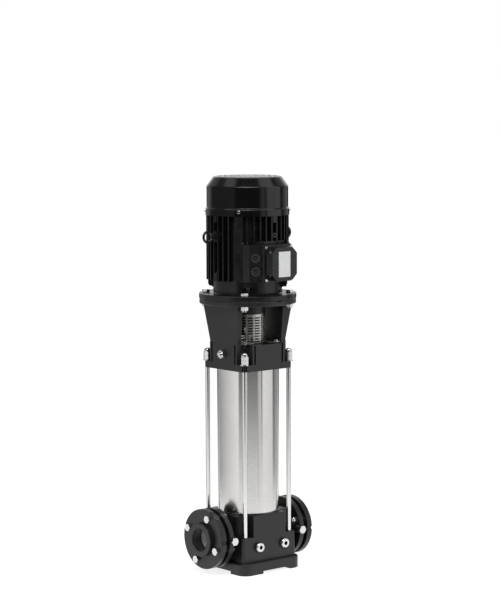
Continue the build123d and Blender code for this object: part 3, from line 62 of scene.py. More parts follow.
PLATE_SEAT = "terminal_box_lid"  # its front is let in by the label plate's thickness
SEAT_FRONT = 1e-5  # vertices this close to the seat's front belong to it
PLATE_BORDER = 0.0016  # flat rim around the label plate
PLATE_LINE = (0.0003, 0.00018)  # width and depth of the pressed line inside the rim
PLATE_EDGE = 0.0002  # rounding of the plate's own edges
PLATE_CORNER = radians(50)  # edges of the plate that turn by more than this are rounded

ROD_DARK_BAND = (0.5227, 0.54)  # Z range of the slots that the tie rods pass through, where the rods are made dark and not metallic
DARK_BAND_FADE = 0.0004  # length over which the rods' dark band fades out
PLUG_SOCKET_D = 0.0125  # across the corners of the drain plugs' hexagon sockets
PLUG_FACE = 0.0006  # faces this close to the plugs' outer ends stay bright

THREAD_ROOT = 0.0004  # how far the thread's root lies in the flange
THREAD_START = 0.001  # from the flange's inner face to the first turn
THREAD_SHORT = 0.004  # at least this length of the bore is left without a thread
THREAD_STEPS = 72  # faces around each turn

# Where a noise texture's values mostly lie, and the values that show as streaks.
NOISE_SPAN = (0.3, 0.7)
STREAK_SPAN = (0.35, 0.75)
STREAK_SHARE = 0.35  # most that a streak darkens the metal

# CAD nodes by the finish that they are given.
FINISHES = {
    "casting_paint": ("base_casting", "suction_flange", "discharge_flange", "motor_stool",
                      "seal_cover", "coupling_half_front", "coupling_half_back"),
    "motor_paint": ("motor_frame", "drive_end_shield", "rear_end_shield", "eye_bolts",
                    "shield_bolts"),
    "cowl_paint": ("fan_cowl",),
    "box_paint": ("terminal_box", "terminal_box_lid"),
    "zinc_plate": ("flange_bolts", "hex_nuts", "gauge_plugs", "drain_plugs", "tie_rod_washers",
                   "tie_rod_cap_nuts", "vent_plug", "vent_screw", "guard_screws", "cowl_screws",
                   "lid_screws", "motor_bolts", "coupling_screws", "shaft_nut"),
    "rod_steel": ("tie_rods",),
    "sleeve_steel": ("outer_sleeve",),
    "liner_steel": ("port_liners",),
    "sheet_steel": ("coupling_guard_front", "coupling_guard_back"),
    "pressed_steel": ("inlet_guide", "stage_chambers", "top_chamber", "stack_straps", "impellers"),
    "ground_steel": ("pump_shaft", "motor_shaft", "shaft_spacers", "seal_ring", "outer_races",
                     "inner_races", "ball_cages"),
    "core_steel": ("stator_core", "rotor_core"),
    "copper_wire": ("stator_windings",),
    "fan_plastic": ("fan", "entry_plugs"),
    "board_plastic": ("terminal_board",),
    "seal_rubber": ("sleeve_seals", "lid_gasket"),
    "joint_sheet": ("flange_gaskets", "plug_washers"),
    "seal_carbon": ("neck_rings", "seal_seat"),
    "bush_bronze": ("shaft_bush",),
}

# Area lights: name, turn to the right of the camera in degrees, distance from the shaft, height,
# (width, height) of the light, setting that holds its power, share of it, seen in reflections.
LAMPS = (
    ("front_softbox", -6.0, 1.75, 2.35, (1.9, 0.5), "front_power", 1.0, True),
    ("left_softbox", -75.0, 2.2, 1.3, (1.2, 2.2), "side_power", 1.0, False),
    ("right_softbox", 62.0, 2.2, 1.3, (1.0, 2.2), "side_power", 1.2, False),
)
LAMP_AIM = Vector((0, 0, 0.62))  # middle of the pump

# Cards seen in reflections only: name, first and last turn to the right of the camera in
# degrees, distance from the shaft, strength at the first and at the last turn, then
# (height, brightness) from the lower edge up.
CARDS = (
    ("left_panel", -118, -34, 1.05, (0.46, 1.0),
     ((0.0, 0.95), (0.56, 0.93), (0.74, 0.3), (0.82, 0.2), (2.2, 0.3))),
    ("left_edge_card", -150, -118, 1.1, (1.0, 1.0), ((0.0, 0.4), (0.6, 0.4), (2.2, 0.36))),
    ("right_strip", 35, 47, 1.05, (0.6, 1.0), ((0.0, 0.95), (0.35, 0.68), (0.6, 0.6), (2.2, 0.7))),
    ("right_panel", 53, 101, 1.05, (0.95, 0.8), ((0.0, 0.95), (0.5, 0.92), (2.2, 1.1))),
    ("right_dark_card", 101, 113, 1.2, (1.0, 1.0),
     ((0.0, 0.4), (0.25, 0.22), (0.45, 0.05), (2.2, 0.03))),
    ("right_edge_card", 113, 145, 1.2, (0.5, 1.0), ((0.0, 0.6), (0.5, 0.45), (2.2, 0.4))),
    ("overhead_card", -36, 36, 1.75, (4.5, 4.5), ((1.95, 0.9), (2.4, 1.0), (2.85, 0.9))),
    ("front_dark_wall", -60, 60, 4.6, (1.0, 1.0), ((0.0, 0.02), (16.0, 0.01))),
)
CARD_FACES = 180  # faces in a full turn of a card

FLOOR_RADIUS = 40.0
FLOOR_SIDES = 96
FLOOR_GREY = 0.42  # of the matte floor, which takes the shadows
FLOOR_GLOW = 0.8  # light added to it where the camera sees it
# (distance from the shaft, brightness) of the floor in reflections, and the ramp's full length.
FLOOR_FALLOFF = ((0.9, 1.0), (1.66, 0.84), (2.26, 0.56), (2.98, 0.24), (3.83, 0.04), (4.6, 0.01))
FLOOR_REACH = 5.0

LENS_SHIFT = (0.0042, 0.125)  # across and up, in widths of the frame
VIEW_END = 90.0  # how far the camera sees


# ---- node graphs ---------------------------------------------------------------------
class Graph:
    """Small helper that builds one material's node graph on object coordinates."""

    def __init__(self, name):
        self.material = bpy.data.materials.new(name)
        self.material.use_nodes = True
        self.nodes = self.material.node_tree.nodes
        self.links = self.material.node_tree.links
        self.shader = self.nodes["Principled BSDF"]
        self.coords = self.nodes.new("ShaderNodeTexCoord").outputs["Object"]

    def link(self, source, target):
        """Lead an output socket to an input socket."""
        self.links.new(source, target)

    def stretched(self, scale):
        """Object coordinates stretched along an axis, for brushed and drawn metal."""
        mapping = self.nodes.new("ShaderNodeMapping")
        mapping.inputs["Scale"].default_value = scale
        self.link(self.coords, mapping.inputs["Vector"])
        return mapping.outputs["Vector"]

    def noise(self, scale, detail=3.0, roughness=0.5, vector=None):
        """Noise texture on object coordinates, or on the vector."""
        texture = self.nodes.new("ShaderNodeTexNoise")
        texture.inputs["Scale"].default_value = scale
        texture.inputs["Detail"].default_value = detail
        texture.inputs["Roughness"].default_value = roughness
        self.link(vector or self.coords, texture.inputs["Vector"])
        return texture.outputs["Fac"]

    def remap(self, value, low, high, to_low, to_high):
        """Value brought from one range to another, and held inside it."""
        ramp = self.nodes.new("ShaderNodeMapRange")
        for name, number in (("From Min", low), ("From Max", high),
                             ("To Min", to_low), ("To Max", to_high)):
            ramp.inputs[name].default_value = number
        self.link(value, ramp.inputs["Value"])
        return ramp.outputs["Result"]

    def vary(self, value, middle, spread):
        """Numbers around a middle, out of a noise texture."""
        return self.remap(value, *NOISE_SPAN, middle - spread, middle + spread)

    def maths(self, operation, first, second):
        """Math node on a socket, and another socket or a plain number."""
        node = self.nodes.new("ShaderNodeMath")
        node.operation = operation
        self.link(first, node.inputs[0])
        if isinstance(second, bpy.types.NodeSocket):
            self.link(second, node.inputs[1])
        else:
            node.inputs[1].default_value = second
        return node.outputs["Value"]

    def split(self, vector):
        """Parts X, Y and Z of a vector."""
        parts = self.nodes.new("ShaderNodeSeparateXYZ")
        self.link(vector, parts.inputs["Vector"])
        return parts.outputs

    def blend(self, factor, first, second):
        """Colour between two colours, each a socket or plain numbers."""
        mix = self.nodes.new("ShaderNodeMix")
        mix.data_type = "RGBA"
        self.link(factor, mix.inputs["Factor"])
        for socket, colour in ((mix.inputs["A"], first), (mix.inputs["B"], second)):
            if isinstance(colour, bpy.types.NodeSocket):
                self.link(colour, socket)
            else:
                socket.default_value = (*colour, 1.0)
        return mix.outputs["Result"]

    def bump(self, height, distance, strength=1.0, normal=None):
        """Surface texture of a depth in metres, over another one where a normal is given."""
        node = self.nodes.new("ShaderNodeBump")
        node.inputs["Distance"].default_value = distance
        node.inputs["Strength"].default_value = strength
        self.link(height, node.inputs["Height"])
        if normal is not None:
            self.link(normal, node.inputs["Normal"])
        return node.outputs["Normal"]

    def greys(self, value, marks):
        """Grey that follows (place from 0 to 1, brightness) marks."""
        ramp = self.nodes.new("ShaderNodeValToRGB")
        stops = ramp.color_ramp.elements
        while len(stops) < len(marks):
            stops.new(0.5)
        for stop, (place, brightness) in zip(stops, marks):
            stop.position = place
            stop.color = (brightness, brightness, brightness, 1)
        self.link(value, ramp.inputs["Fac"])
        return ramp.outputs["Color"]

    def glow(self, strength, colour=None):
        """Emission of a strength, white or of a linked colour."""
        node = self.nodes.new("ShaderNodeEmission")
        if isinstance(strength, bpy.types.NodeSocket):
            self.link(strength, node.inputs["Strength"])
        else:
            node.inputs["Strength"].default_value = strength
        if colour is not None:
            self.link(colour, node.inputs["Color"])
        return node.outputs["Emission"]

    def choose(self, factor, first, second):
        """The second shader where the factor is 1, else the first."""
        mix = self.nodes.new("ShaderNodeMixShader")
        for socket, source in zip(mix.inputs, (factor, first, second)):
            self.link(source, socket)
        return mix.outputs["Shader"]

    def show(self, shader):
        """Lead a shader to the material's output."""
        self.link(shader, self.nodes["Material Output"].inputs["Surface"])
        return self.material

    def finish(self, colour, roughness, normal=None, **sockets):
        """Fill the principled shader; plain numbers are set on its sockets by name."""
        self.link(colour, self.shader.inputs["Base Color"])
        self.link(roughness, self.shader.inputs["Roughness"])
        if normal is not None:
            self.link(normal, self.shader.inputs["Normal"])
        for name, number in sockets.items():
            self.shader.inputs[name.replace("_", " ").title()].default_value = number
        return self.material


def scaled(colour, factor):
    """Lighter or darker colour."""
    return tuple(min(1.0, part * factor) for part in colour)


def painted(name, colour, roughness, grain_scale, grain_depth, spread=0.07):
    """Paint over a cast or pressed surface: cloudy tone, dusty specks and skin texture."""
    graph = Graph(name)
    cloud = graph.remap(graph.noise(scale=9.0, detail=4.0), *NOISE_SPAN, 0.0, 1.0)
    speck = graph.remap(graph.noise(scale=420.0, detail=2.0), 0.58, 0.72, 0.0, 0.5)
    tone = graph.blend(cloud, scaled(colour, 0.86), scaled(colour, 1.16))
    tone = graph.blend(speck, tone, scaled(colour, 1.7))
    rough = graph.vary(graph.noise(scale=38.0, detail=4.0), roughness, spread)
    skin = graph.bump(graph.noise(grain_scale, 3.0, 0.6), grain_depth)
    waves = graph.bump(graph.noise(scale=70.0, detail=1.0), grain_depth * 4.0, 0.35, skin)
    return graph.finish(tone, rough, waves)


def metal(name, colour, roughness, stretch, scratch_scale, depth=1.5e-5, spread=0.06,
          brushed=0.0):
    """Bare or plated metal with a drawn, brushed or ground direction."""
    graph = Graph(name)
    lines = graph.noise(scratch_scale, 3.0, 0.6, graph.stretched(stretch))
    cloud = graph.remap(graph.noise(scale=14.0), *NOISE_SPAN, 0.0, 1.0)
    tone = graph.blend(cloud, scaled(colour, 0.93), colour)
    streaks = graph.remap(lines, *STREAK_SPAN, 0.0, STREAK_SHARE)
    tone = graph.blend(streaks, tone, scaled(colour, 0.8))
    rough = graph.vary(lines, roughness, spread)
    return graph.finish(tone, rough, graph.bump(lines, depth, 0.6), metallic=1.0,
                        anisotropic=brushed, anisotropic_rotation=0.25)


def moulded(name, colour, roughness, grain_scale=900.0, depth=2e-5):
    """Plastic, rubber or sheet with a fine moulded grain."""
    graph = Graph(name)
    tone = graph.blend(graph.noise(scale=30.0), scaled(colour, 0.85), scaled(colour, 1.15))
    rough = graph.vary(graph.noise(scale=60.0), roughness, 0.06)
    return graph.finish(tone, rough, graph.bump(graph.noise(grain_scale, detail=2.0), depth))


def tie_rod(name, colour, paint, roughness):
    """Drawn rod, dark and not metallic on the length that lies in the stool's slots, in half the
    casting paint's colour.
    """
    graph = Graph(name)
    lines = graph.noise(900.0, 3.0, 0.6, graph.stretched((1, 1, 0.04)))
    height = graph.split(graph.coords)["Z"]
    low, high = ROD_DARK_BAND
    # The length in the slots takes half the casting paint's colour and is not metallic.
    dark_band = graph.maths("MULTIPLY", graph.remap(height, low, low + DARK_BAND_FADE, 0.0, 1.0),
                          graph.remap(height, high - DARK_BAND_FADE, high, 1.0, 0.0))
    streaks = graph.remap(lines, *STREAK_SPAN, 0.0, STREAK_SHARE)
    steel = graph.blend(streaks, colour, scaled(colour, 0.8))
    graph.link(graph.remap(dark_band, 0.0, 1.0, 1.0, 0.0), graph.shader.inputs["Metallic"])
    rough = graph.vary(lines, roughness, 0.04)
    return graph.finish(graph.blend(dark_band, steel, scaled(paint, 0.5)), rough,
                        graph.bump(lines, 6e-6, 0.6))


def windings(name, colour):
    """Varnished round wire lying side by side."""
    graph = Graph(name)
    wave = graph.nodes.new("ShaderNodeTexWave")
    wave.inputs["Scale"].default_value = 240.0
    wave.inputs["Distortion"].default_value = 3.0
    graph.link(graph.coords, wave.inputs["Vector"])
    turns = wave.outputs["Fac"]
    tone = graph.blend(turns, scaled(colour, 0.55), colour)
    rough = graph.remap(turns, 0.0, 1.0, 0.45, 0.28)
    return graph.finish(tone, rough, graph.bump(turns, 2e-4), metallic=0.7)


# ---- mesh helpers --------------------------------------------------------------------
def deselect():
    """Leave edit mode and deselect every object."""
    if bpy.context.mode != "OBJECT":
        bpy.ops.object.mode_set(mode="OBJECT")
    bpy.ops.object.select_all(action="DESELECT")


def named(piece, name, body, material):
    """Name a new piece, give it its finish and hang it on its body."""
    piece.name = name
    piece.data.name = name
    piece.data.materials.clear()
    piece.data.materials.append(material)
    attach(piece, body)
    return piece


def settle():
    """Put the active object's place into its mesh."""
    bpy.ops.object.transform_apply(location=True, rotation=True, scale=True)
    return bpy.context.active_object


def outward():
    """Merge doubles and turn every face of the active mesh outwards."""
    bpy.ops.object.mode_set(mode="EDIT")
    bpy.ops.mesh.select_all(action="SELECT")
    bpy.ops.mesh.remove_doubles(threshold=WELD)
    bpy.ops.mesh.normals_make_consistent(inside=False)
    bpy.ops.object.mode_set(mode="OBJECT")


def pick_faces(piece, wanted):
    """Go into edit mode with only the wanted faces selected."""
    bpy.ops.object.mode_set(mode="EDIT")
    bpy.ops.mesh.select_all(action="DESELECT")
    bpy.ops.object.mode_set(mode="OBJECT")
    for face in piece.data.polygons:
        face.select = wanted(face)
    bpy.ops.object.mode_set(mode="EDIT")
    bpy.ops.mesh.select_mode(type="FACE")


def modify(piece, kind, **values):
    """Add one modifier to the piece and apply it."""
    bpy.context.view_layer.objects.active = piece
    modifier = piece.modifiers.new(kind.lower(), kind)
    for key, value in values.items():
        setattr(modifier, key, value)
    bpy.ops.object.modifier_apply(modifier=modifier.name)


def copied(node):
    """New object with its own copy of a CAD node's mesh, active and alone selected."""
    deselect()
    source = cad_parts[node]
    piece = source.copy()
    piece.data = source.data.copy()
    piece.parent = None
    for key in list(piece.keys()):
        if key.startswith("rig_"):
            del piece[key]
    bpy.context.scene.collection.objects.link(piece)
    bpy.context.view_layer.objects.active = piece
    piece.select_set(True)
    return piece


# ---- settings ------------------------------------------------------------------------
class PUMP_PG_colours(bpy.types.PropertyGroup):
    """Base colours and gloss of the visible finishes."""

    casting: bpy.props.FloatVectorProperty(
        name="Casting paint", description="Satin black paint on the pump's castings",
        subtype="COLOR", default=(0.011, 0.011, 0.0115))
    motor: bpy.props.FloatVectorProperty(
        name="Motor paint", description="Black paint on the finned frame and shields",
        subtype="COLOR", default=(0.0045, 0.0045, 0.0047))
    cowl: bpy.props.FloatVectorProperty(
        name="Cowl paint", description="Gloss black paint on the fan cowl",
        subtype="COLOR", default=(0.0035, 0.0035, 0.0038))
    terminal: bpy.props.FloatVectorProperty(
        name="Terminal box paint", description="Satin black paint on box and lid",
        subtype="COLOR", default=(0.005, 0.005, 0.0053))
    zinc: bpy.props.FloatVectorProperty(
        name="Zinc plate", description="Bright plate on nuts, bolts, plugs and washers",
        subtype="COLOR", default=(0.82, 0.83, 0.85))
    sleeve: bpy.props.FloatVectorProperty(
        name="Sleeve steel", description="Brushed stainless tube around the stages",
        subtype="COLOR", default=(0.8, 0.79, 0.77))
    rod: bpy.props.FloatVectorProperty(
        name="Rod steel", description="Drawn stainless tie rods",
        subtype="COLOR", default=(0.88, 0.88, 0.88))
    guard: bpy.props.FloatVectorProperty(
        name="Guard steel", description="Pressed stainless coupling guard",
        subtype="COLOR", default=(0.62, 0.61, 0.58))
    plate: bpy.props.FloatVectorProperty(
        name="Label plate", description="Bare label plate and the liners in the ports",
        subtype="COLOR", default=(0.9, 0.91, 0.92))
    casting_gloss: bpy.props.FloatProperty(
        name="Casting roughness", description="Roughness of the casting paint",
        subtype="FACTOR", min=0.0, max=1.0, default=0.36)


class PUMP_PG_edges(bpy.types.PropertyGroup):
    """How far the edges of the castings, the drive end shield and the box are rounded."""

    casting: bpy.props.FloatProperty(
        name="Casting edge", description="Rounding of the cast edges",
        unit="LENGTH", min=0.0001, max=0.003, default=0.0012)
    sheet: bpy.props.FloatProperty(
        name="Thin edge", description="Rounding of the shield's, the box's and its lid's edges",
        unit="LENGTH", min=0.0001, max=0.002, default=0.0008)
    limit: bpy.props.FloatProperty(
        name="Sharpness", description="Edges that turn by more than this are rounded",
        subtype="ANGLE", default=radians(38.0))
    segments: bpy.props.IntProperty(
        name="Segments", description="Faces across each rounding", min=1, max=4, default=2)


class PUMP_PG_plate(bpy.types.PropertyGroup):
    """Bare plate on the terminal box lid."""

    left: bpy.props.FloatProperty(
        name="Left edge", description="X of the plate's left edge", unit="LENGTH", default=-0.0198)
    right: bpy.props.FloatProperty(
        name="Right edge", description="X of the plate's right edge", unit="LENGTH", default=0.0191)
    low: bpy.props.FloatProperty(
        name="Lower edge", description="Z of the plate's lower edge", unit="LENGTH", default=0.765)
    high: bpy.props.FloatProperty(
        name="Upper edge", description="Z of the plate's upper edge", unit="LENGTH", default=0.829)
    thickness: bpy.props.FloatProperty(
        name="Thickness", description="Thickness of the plate", unit="LENGTH", default=0.0005)


class PUMP_PG_thread(bpy.types.PropertyGroup):
    """Pipe thread cut in the companion flanges."""

    radius: bpy.props.FloatProperty(
        name="Bore radius", description="Radius of the tapped bore", unit="LENGTH", default=0.0285)
    depth: bpy.props.FloatProperty(
        name="Thread depth", description="Height of the thread above its root",
        unit="LENGTH", default=0.0012)
    pitch: bpy.props.FloatProperty(
        name="Pitch", description="Distance from crest to crest", unit="LENGTH", default=0.00231)


class PUMP_PG_studio(bpy.types.PropertyGroup):
    """Camera and light."""

    heading: bpy.props.FloatProperty(
        name="Heading", description="Turn of the camera to the left of the front",
        subtype="ANGLE", default=radians(40.29))
    distance: bpy.props.FloatProperty(
        name="Distance", description="Level distance from the shaft", unit="LENGTH",
        default=5.53065)
    height: bpy.props.FloatProperty(
        name="Height", description="Camera height", unit="LENGTH", default=1.2583)
    tilt: bpy.props.FloatProperty(
        name="Tilt", description="Camera pitch below level", subtype="ANGLE", default=radians(7.79))
    roll: bpy.props.FloatProperty(
        name="Roll", description="Camera roll", subtype="ANGLE", default=radians(-0.2))
    lens: bpy.props.FloatProperty(
        name="Lens", description="Focal length in millimetres on a 36 mm frame", default=129.83)
    front_power: bpy.props.FloatProperty(
        name="Front light", description="Power of the wide light above the front", default=22.0)
    side_power: bpy.props.FloatProperty(
        name="Side light", description="Power of the tall side lights, before each one's share",
        default=16.0)
    world_light: bpy.props.FloatProperty(
        name="World light", description="Strength of the world on matte surfaces", default=0.5)


# ---- operators -----------------------------------------------------------------------
class PUMP_OT_finishes(bpy.types.Operator):
    """Give every CAD node its procedural finish"""

    bl_idname = "pump.finishes"
    bl_label = "Finish the nodes"

    def execute(self, context):
        colours = context.scene.pump_colours
        made = {
            "casting_paint": painted("casting_paint", colours.casting, colours.casting_gloss,
                                     grain_scale=620.0, grain_depth=9e-5),
            "motor_paint": painted("motor_paint", colours.motor, 0.3,
                                   grain_scale=520.0, grain_depth=4e-5),
            "cowl_paint": painted("cowl_paint", colours.cowl, 0.17,
                                  grain_scale=900.0, grain_depth=1e-5, spread=0.03),
            "box_paint": painted("box_paint", colours.terminal, 0.3,
                                 grain_scale=700.0, grain_depth=3e-5, spread=0.05),
            "zinc_plate": metal("zinc_plate", colours.zinc, 0.17,
                                stretch=(1, 1, 1), scratch_scale=260.0),
            "rod_steel": tie_rod("rod_steel", colours.rod, colours.casting, 0.14),
            "sleeve_steel": metal("sleeve_steel", colours.sleeve, 0.17,
                                  stretch=(0.12, 0.12, 1), scratch_scale=700.0, depth=3e-6,
                                  spread=0.03, brushed=0.7),
            "liner_steel": moulded("liner_steel", colours.plate, 0.5,
                                   grain_scale=400.0, depth=1e-5),
            "sheet_steel": metal("sheet_steel", colours.guard, 0.3,
                                 stretch=(1, 1, 0.1), scratch_scale=600.0),
            "pressed_steel": metal("pressed_steel", (0.6, 0.6, 0.6), 0.28,
                                   stretch=(1, 1, 0.2), scratch_scale=500.0),
            "ground_steel": metal("ground_steel", (0.6, 0.6, 0.61), 0.2,
                                  stretch=(0.1, 0.1, 1), scratch_scale=900.0),
            "core_steel": metal("core_steel", (0.28, 0.28, 0.3), 0.4,
                                stretch=(0.02, 0.02, 1), scratch_scale=1500.0, depth=6e-5),
            "copper_wire": windings("copper_wire", (0.62, 0.25, 0.1)),
            "fan_plastic": moulded("fan_plastic", (0.02, 0.02, 0.021), 0.45),
            "board_plastic": moulded("board_plastic", (0.25, 0.12, 0.06), 0.5),
            "seal_rubber": moulded("seal_rubber", (0.014, 0.014, 0.014), 0.6),
            "joint_sheet": moulded("joint_sheet", (0.03, 0.031, 0.03), 0.7,
                                   grain_scale=500.0, depth=6e-5),
            "seal_carbon": moulded("seal_carbon", (0.03, 0.03, 0.033), 0.35),
            "bush_bronze": metal("bush_bronze", (0.5, 0.42, 0.25), 0.3,
                                 stretch=(1, 1, 0.2), scratch_scale=500.0),
            "plate_foil": metal("plate_foil", colours.plate, 0.45,
                                stretch=(1, 1, 0.1), scratch_scale=800.0, depth=4e-6),
        }
        finished = set()
        for finish, nodes in FINISHES.items():
            for node in nodes:
                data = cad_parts[node].data
                data.materials.clear()
                data.materials.append(made[finish])
                finished.add(node)
        left = set(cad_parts) - finished
        if left:
            raise RuntimeError(f"nodes without a finish: {sorted(left)}")
        return {"FINISHED"}


class PUMP_OT_soft_edges(bpy.types.Operator):
    """Round the cast and pressed edges on copies that stand for their nodes"""

    bl_idname = "pump.soft_edges"
    bl_label = "Round the edges"

    def execute(self, context):
        edges = context.scene.pump_edges
        jobs = (("base_casting", "cast_black", edges.casting),
                ("motor_stool", "cast_black", edges.casting),
                ("suction_flange", "cast_black", edges.casting),
                ("discharge_flange", "cast_black", edges.casting),
                ("drive_end_shield", "cast_black", edges.sheet),
                ("terminal_box_lid", "box_black", edges.sheet),
                ("terminal_box", "box_black", edges.sheet))
        for node, slot, width in jobs:
            piece = copied(node)
            outward()
            if node == PLATE_SEAT:
                front = min(vertex.co.y for vertex in piece.data.vertices)
                for vertex in piece.data.vertices:
                    if vertex.co.y < front + SEAT_FRONT:
                        vertex.co.y = front + context.scene.pump_plate.thickness
            modify(piece, "DECIMATE", decimate_type="DISSOLVE", angle_limit=FLAT_ANGLE)
            modify(piece, "BEVEL", width=width, segments=edges.segments, limit_method="ANGLE",
                   angle_limit=edges.limit, use_clamp_overlap=True, miter_outer="MITER_ARC")
            bpy.ops.object.shade_smooth_by_angle(angle=CAST_SMOOTH)
            modify(piece, "WEIGHTED_NORMAL", mode="FACE_AREA", weight=80, keep_sharp=True)
            named(piece, node + "_rounded", FIXED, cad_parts[node].data.materials[0])
            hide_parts(node)
        return {"FINISHED"}


class PUMP_OT_plug_sockets(bpy.types.Operator):
    """Paint shade into the hexagon sockets of the drain plugs with a near-black finish"""

    bl_idname = "pump.plug_sockets"
    bl_label = "Plug sockets"

    def execute(self, context):
        piece = copied("drain_plugs")
        outward()
        named(piece, "drain_plugs_finished", FIXED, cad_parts["drain_plugs"].data.materials[0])
        # Near-black finish that paints the shade inside the hexagon sockets.
        piece.data.materials.append(moulded("socket_painted_shade", (0.004, 0.004, 0.004), 0.6))
        low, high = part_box("drain_plugs")
        radius = (high.z - low.z) / 2
        for face in piece.data.polygons:
            middle = low.x + radius if face.center.x < (low.x + high.x) / 2 else high.x - radius
            away = Vector((face.center.x - middle, 0, face.center.z - (low.z + high.z) / 2))
            inside = away.length < PLUG_SOCKET_D / 2 and face.center.y > low.y + PLUG_FACE
            if inside and face.normal.dot(away) < 1e-9:
                face.material_index = 1
        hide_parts("drain_plugs")
        return {"FINISHED"}


class PUMP_OT_label_plate(bpy.types.Operator):
    """Bare plate with rounded edges and a pressed line inside its rim"""

    bl_idname = "pump.label_plate"
    bl_label = "Label plate"

    def execute(self, context):
        plate = context.scene.pump_plate
        deselect()
        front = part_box(PLATE_SEAT)[0].y
        centre = Vector(((plate.left + plate.right) / 2, front + plate.thickness / 2,
                         (plate.low + plate.high) / 2))
        bpy.ops.mesh.primitive_cube_add(size=1.0, location=centre)
        piece = bpy.context.active_object
        piece.scale = (plate.right - plate.left, plate.thickness, plate.high - plate.low)
        settle()
        pick_faces(piece, lambda face: face.normal.y < -0.9)
        bpy.ops.mesh.inset(thickness=PLATE_BORDER, depth=0.0)
        width, depth = PLATE_LINE
        bpy.ops.mesh.inset(thickness=width, depth=-depth)
        bpy.ops.object.mode_set(mode="OBJECT")
        modify(piece, "BEVEL", width=PLATE_EDGE, segments=2, limit_method="ANGLE",
               angle_limit=PLATE_CORNER)
        outward()
        bpy.ops.object.shade_smooth_by_angle(angle=SMALL_SMOOTH)
        named(piece, "label_plate", FIXED, bpy.data.materials["plate_foil"])
        return {"FINISHED"}


class PUMP_OT_port_threads(bpy.types.Operator):
    """Helical pipe thread in the bore of each companion flange"""

    bl_idname = "pump.port_threads"
    bl_label = "Port threads"

    def execute(self, context):
        thread = context.scene.pump_thread
        for node, name in (("suction_flange", "suction_thread_form"),
                           ("discharge_flange", "discharge_thread_form")):
            low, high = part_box(node)
            side = -1 if low.x < 0 else 1
            inner = high.x if side < 0 else low.x
            outer = low.x if side < 0 else high.x
            length = abs(outer - inner) - THREAD_SHORT
            centre_z = (low.z + high.z) / 2
            deselect()
            bpy.ops.mesh.primitive_circle_add(vertices=3, radius=thread.pitch / 2,
                                              location=(thread.radius, 0, 0),
                                              rotation=(pi / 2, 0, 0), fill_type="NOTHING")
            piece = settle()
            corners = ((thread.radius + THREAD_ROOT, -thread.pitch / 2),
                       (thread.radius - thread.depth, 0.0),
                       (thread.radius + THREAD_ROOT, thread.pitch / 2))
            for vertex, (x, z) in zip(piece.data.vertices, corners):
                vertex.co = (x, 0.0, z)
            turns = int(length / thread.pitch) - 1
            modify(piece, "SCREW", axis="Z", angle=2 * pi, screw_offset=thread.pitch,
                   iterations=turns, steps=THREAD_STEPS, render_steps=THREAD_STEPS,
                   use_merge_vertices=False)
            piece.rotation_euler = (0, radians(90 * side), 0)
            first_turn = inner + side * THREAD_START + side * thread.pitch / 2
            piece.location = (first_turn, 0, centre_z)
            settle()
            bpy.ops.object.mode_set(mode="EDIT")
            bpy.ops.mesh.select_mode(type="EDGE")
            bpy.ops.mesh.select_all(action="DESELECT")
            bpy.ops.mesh.select_non_manifold()
            bpy.ops.mesh.fill_holes(sides=4)
            bpy.ops.object.mode_set(mode="OBJECT")
            outward()
            bpy.ops.object.shade_smooth_by_angle(angle=SMALL_SMOOTH)
            named(piece, name, FIXED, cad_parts[node].data.materials[0])
        return {"FINISHED"}


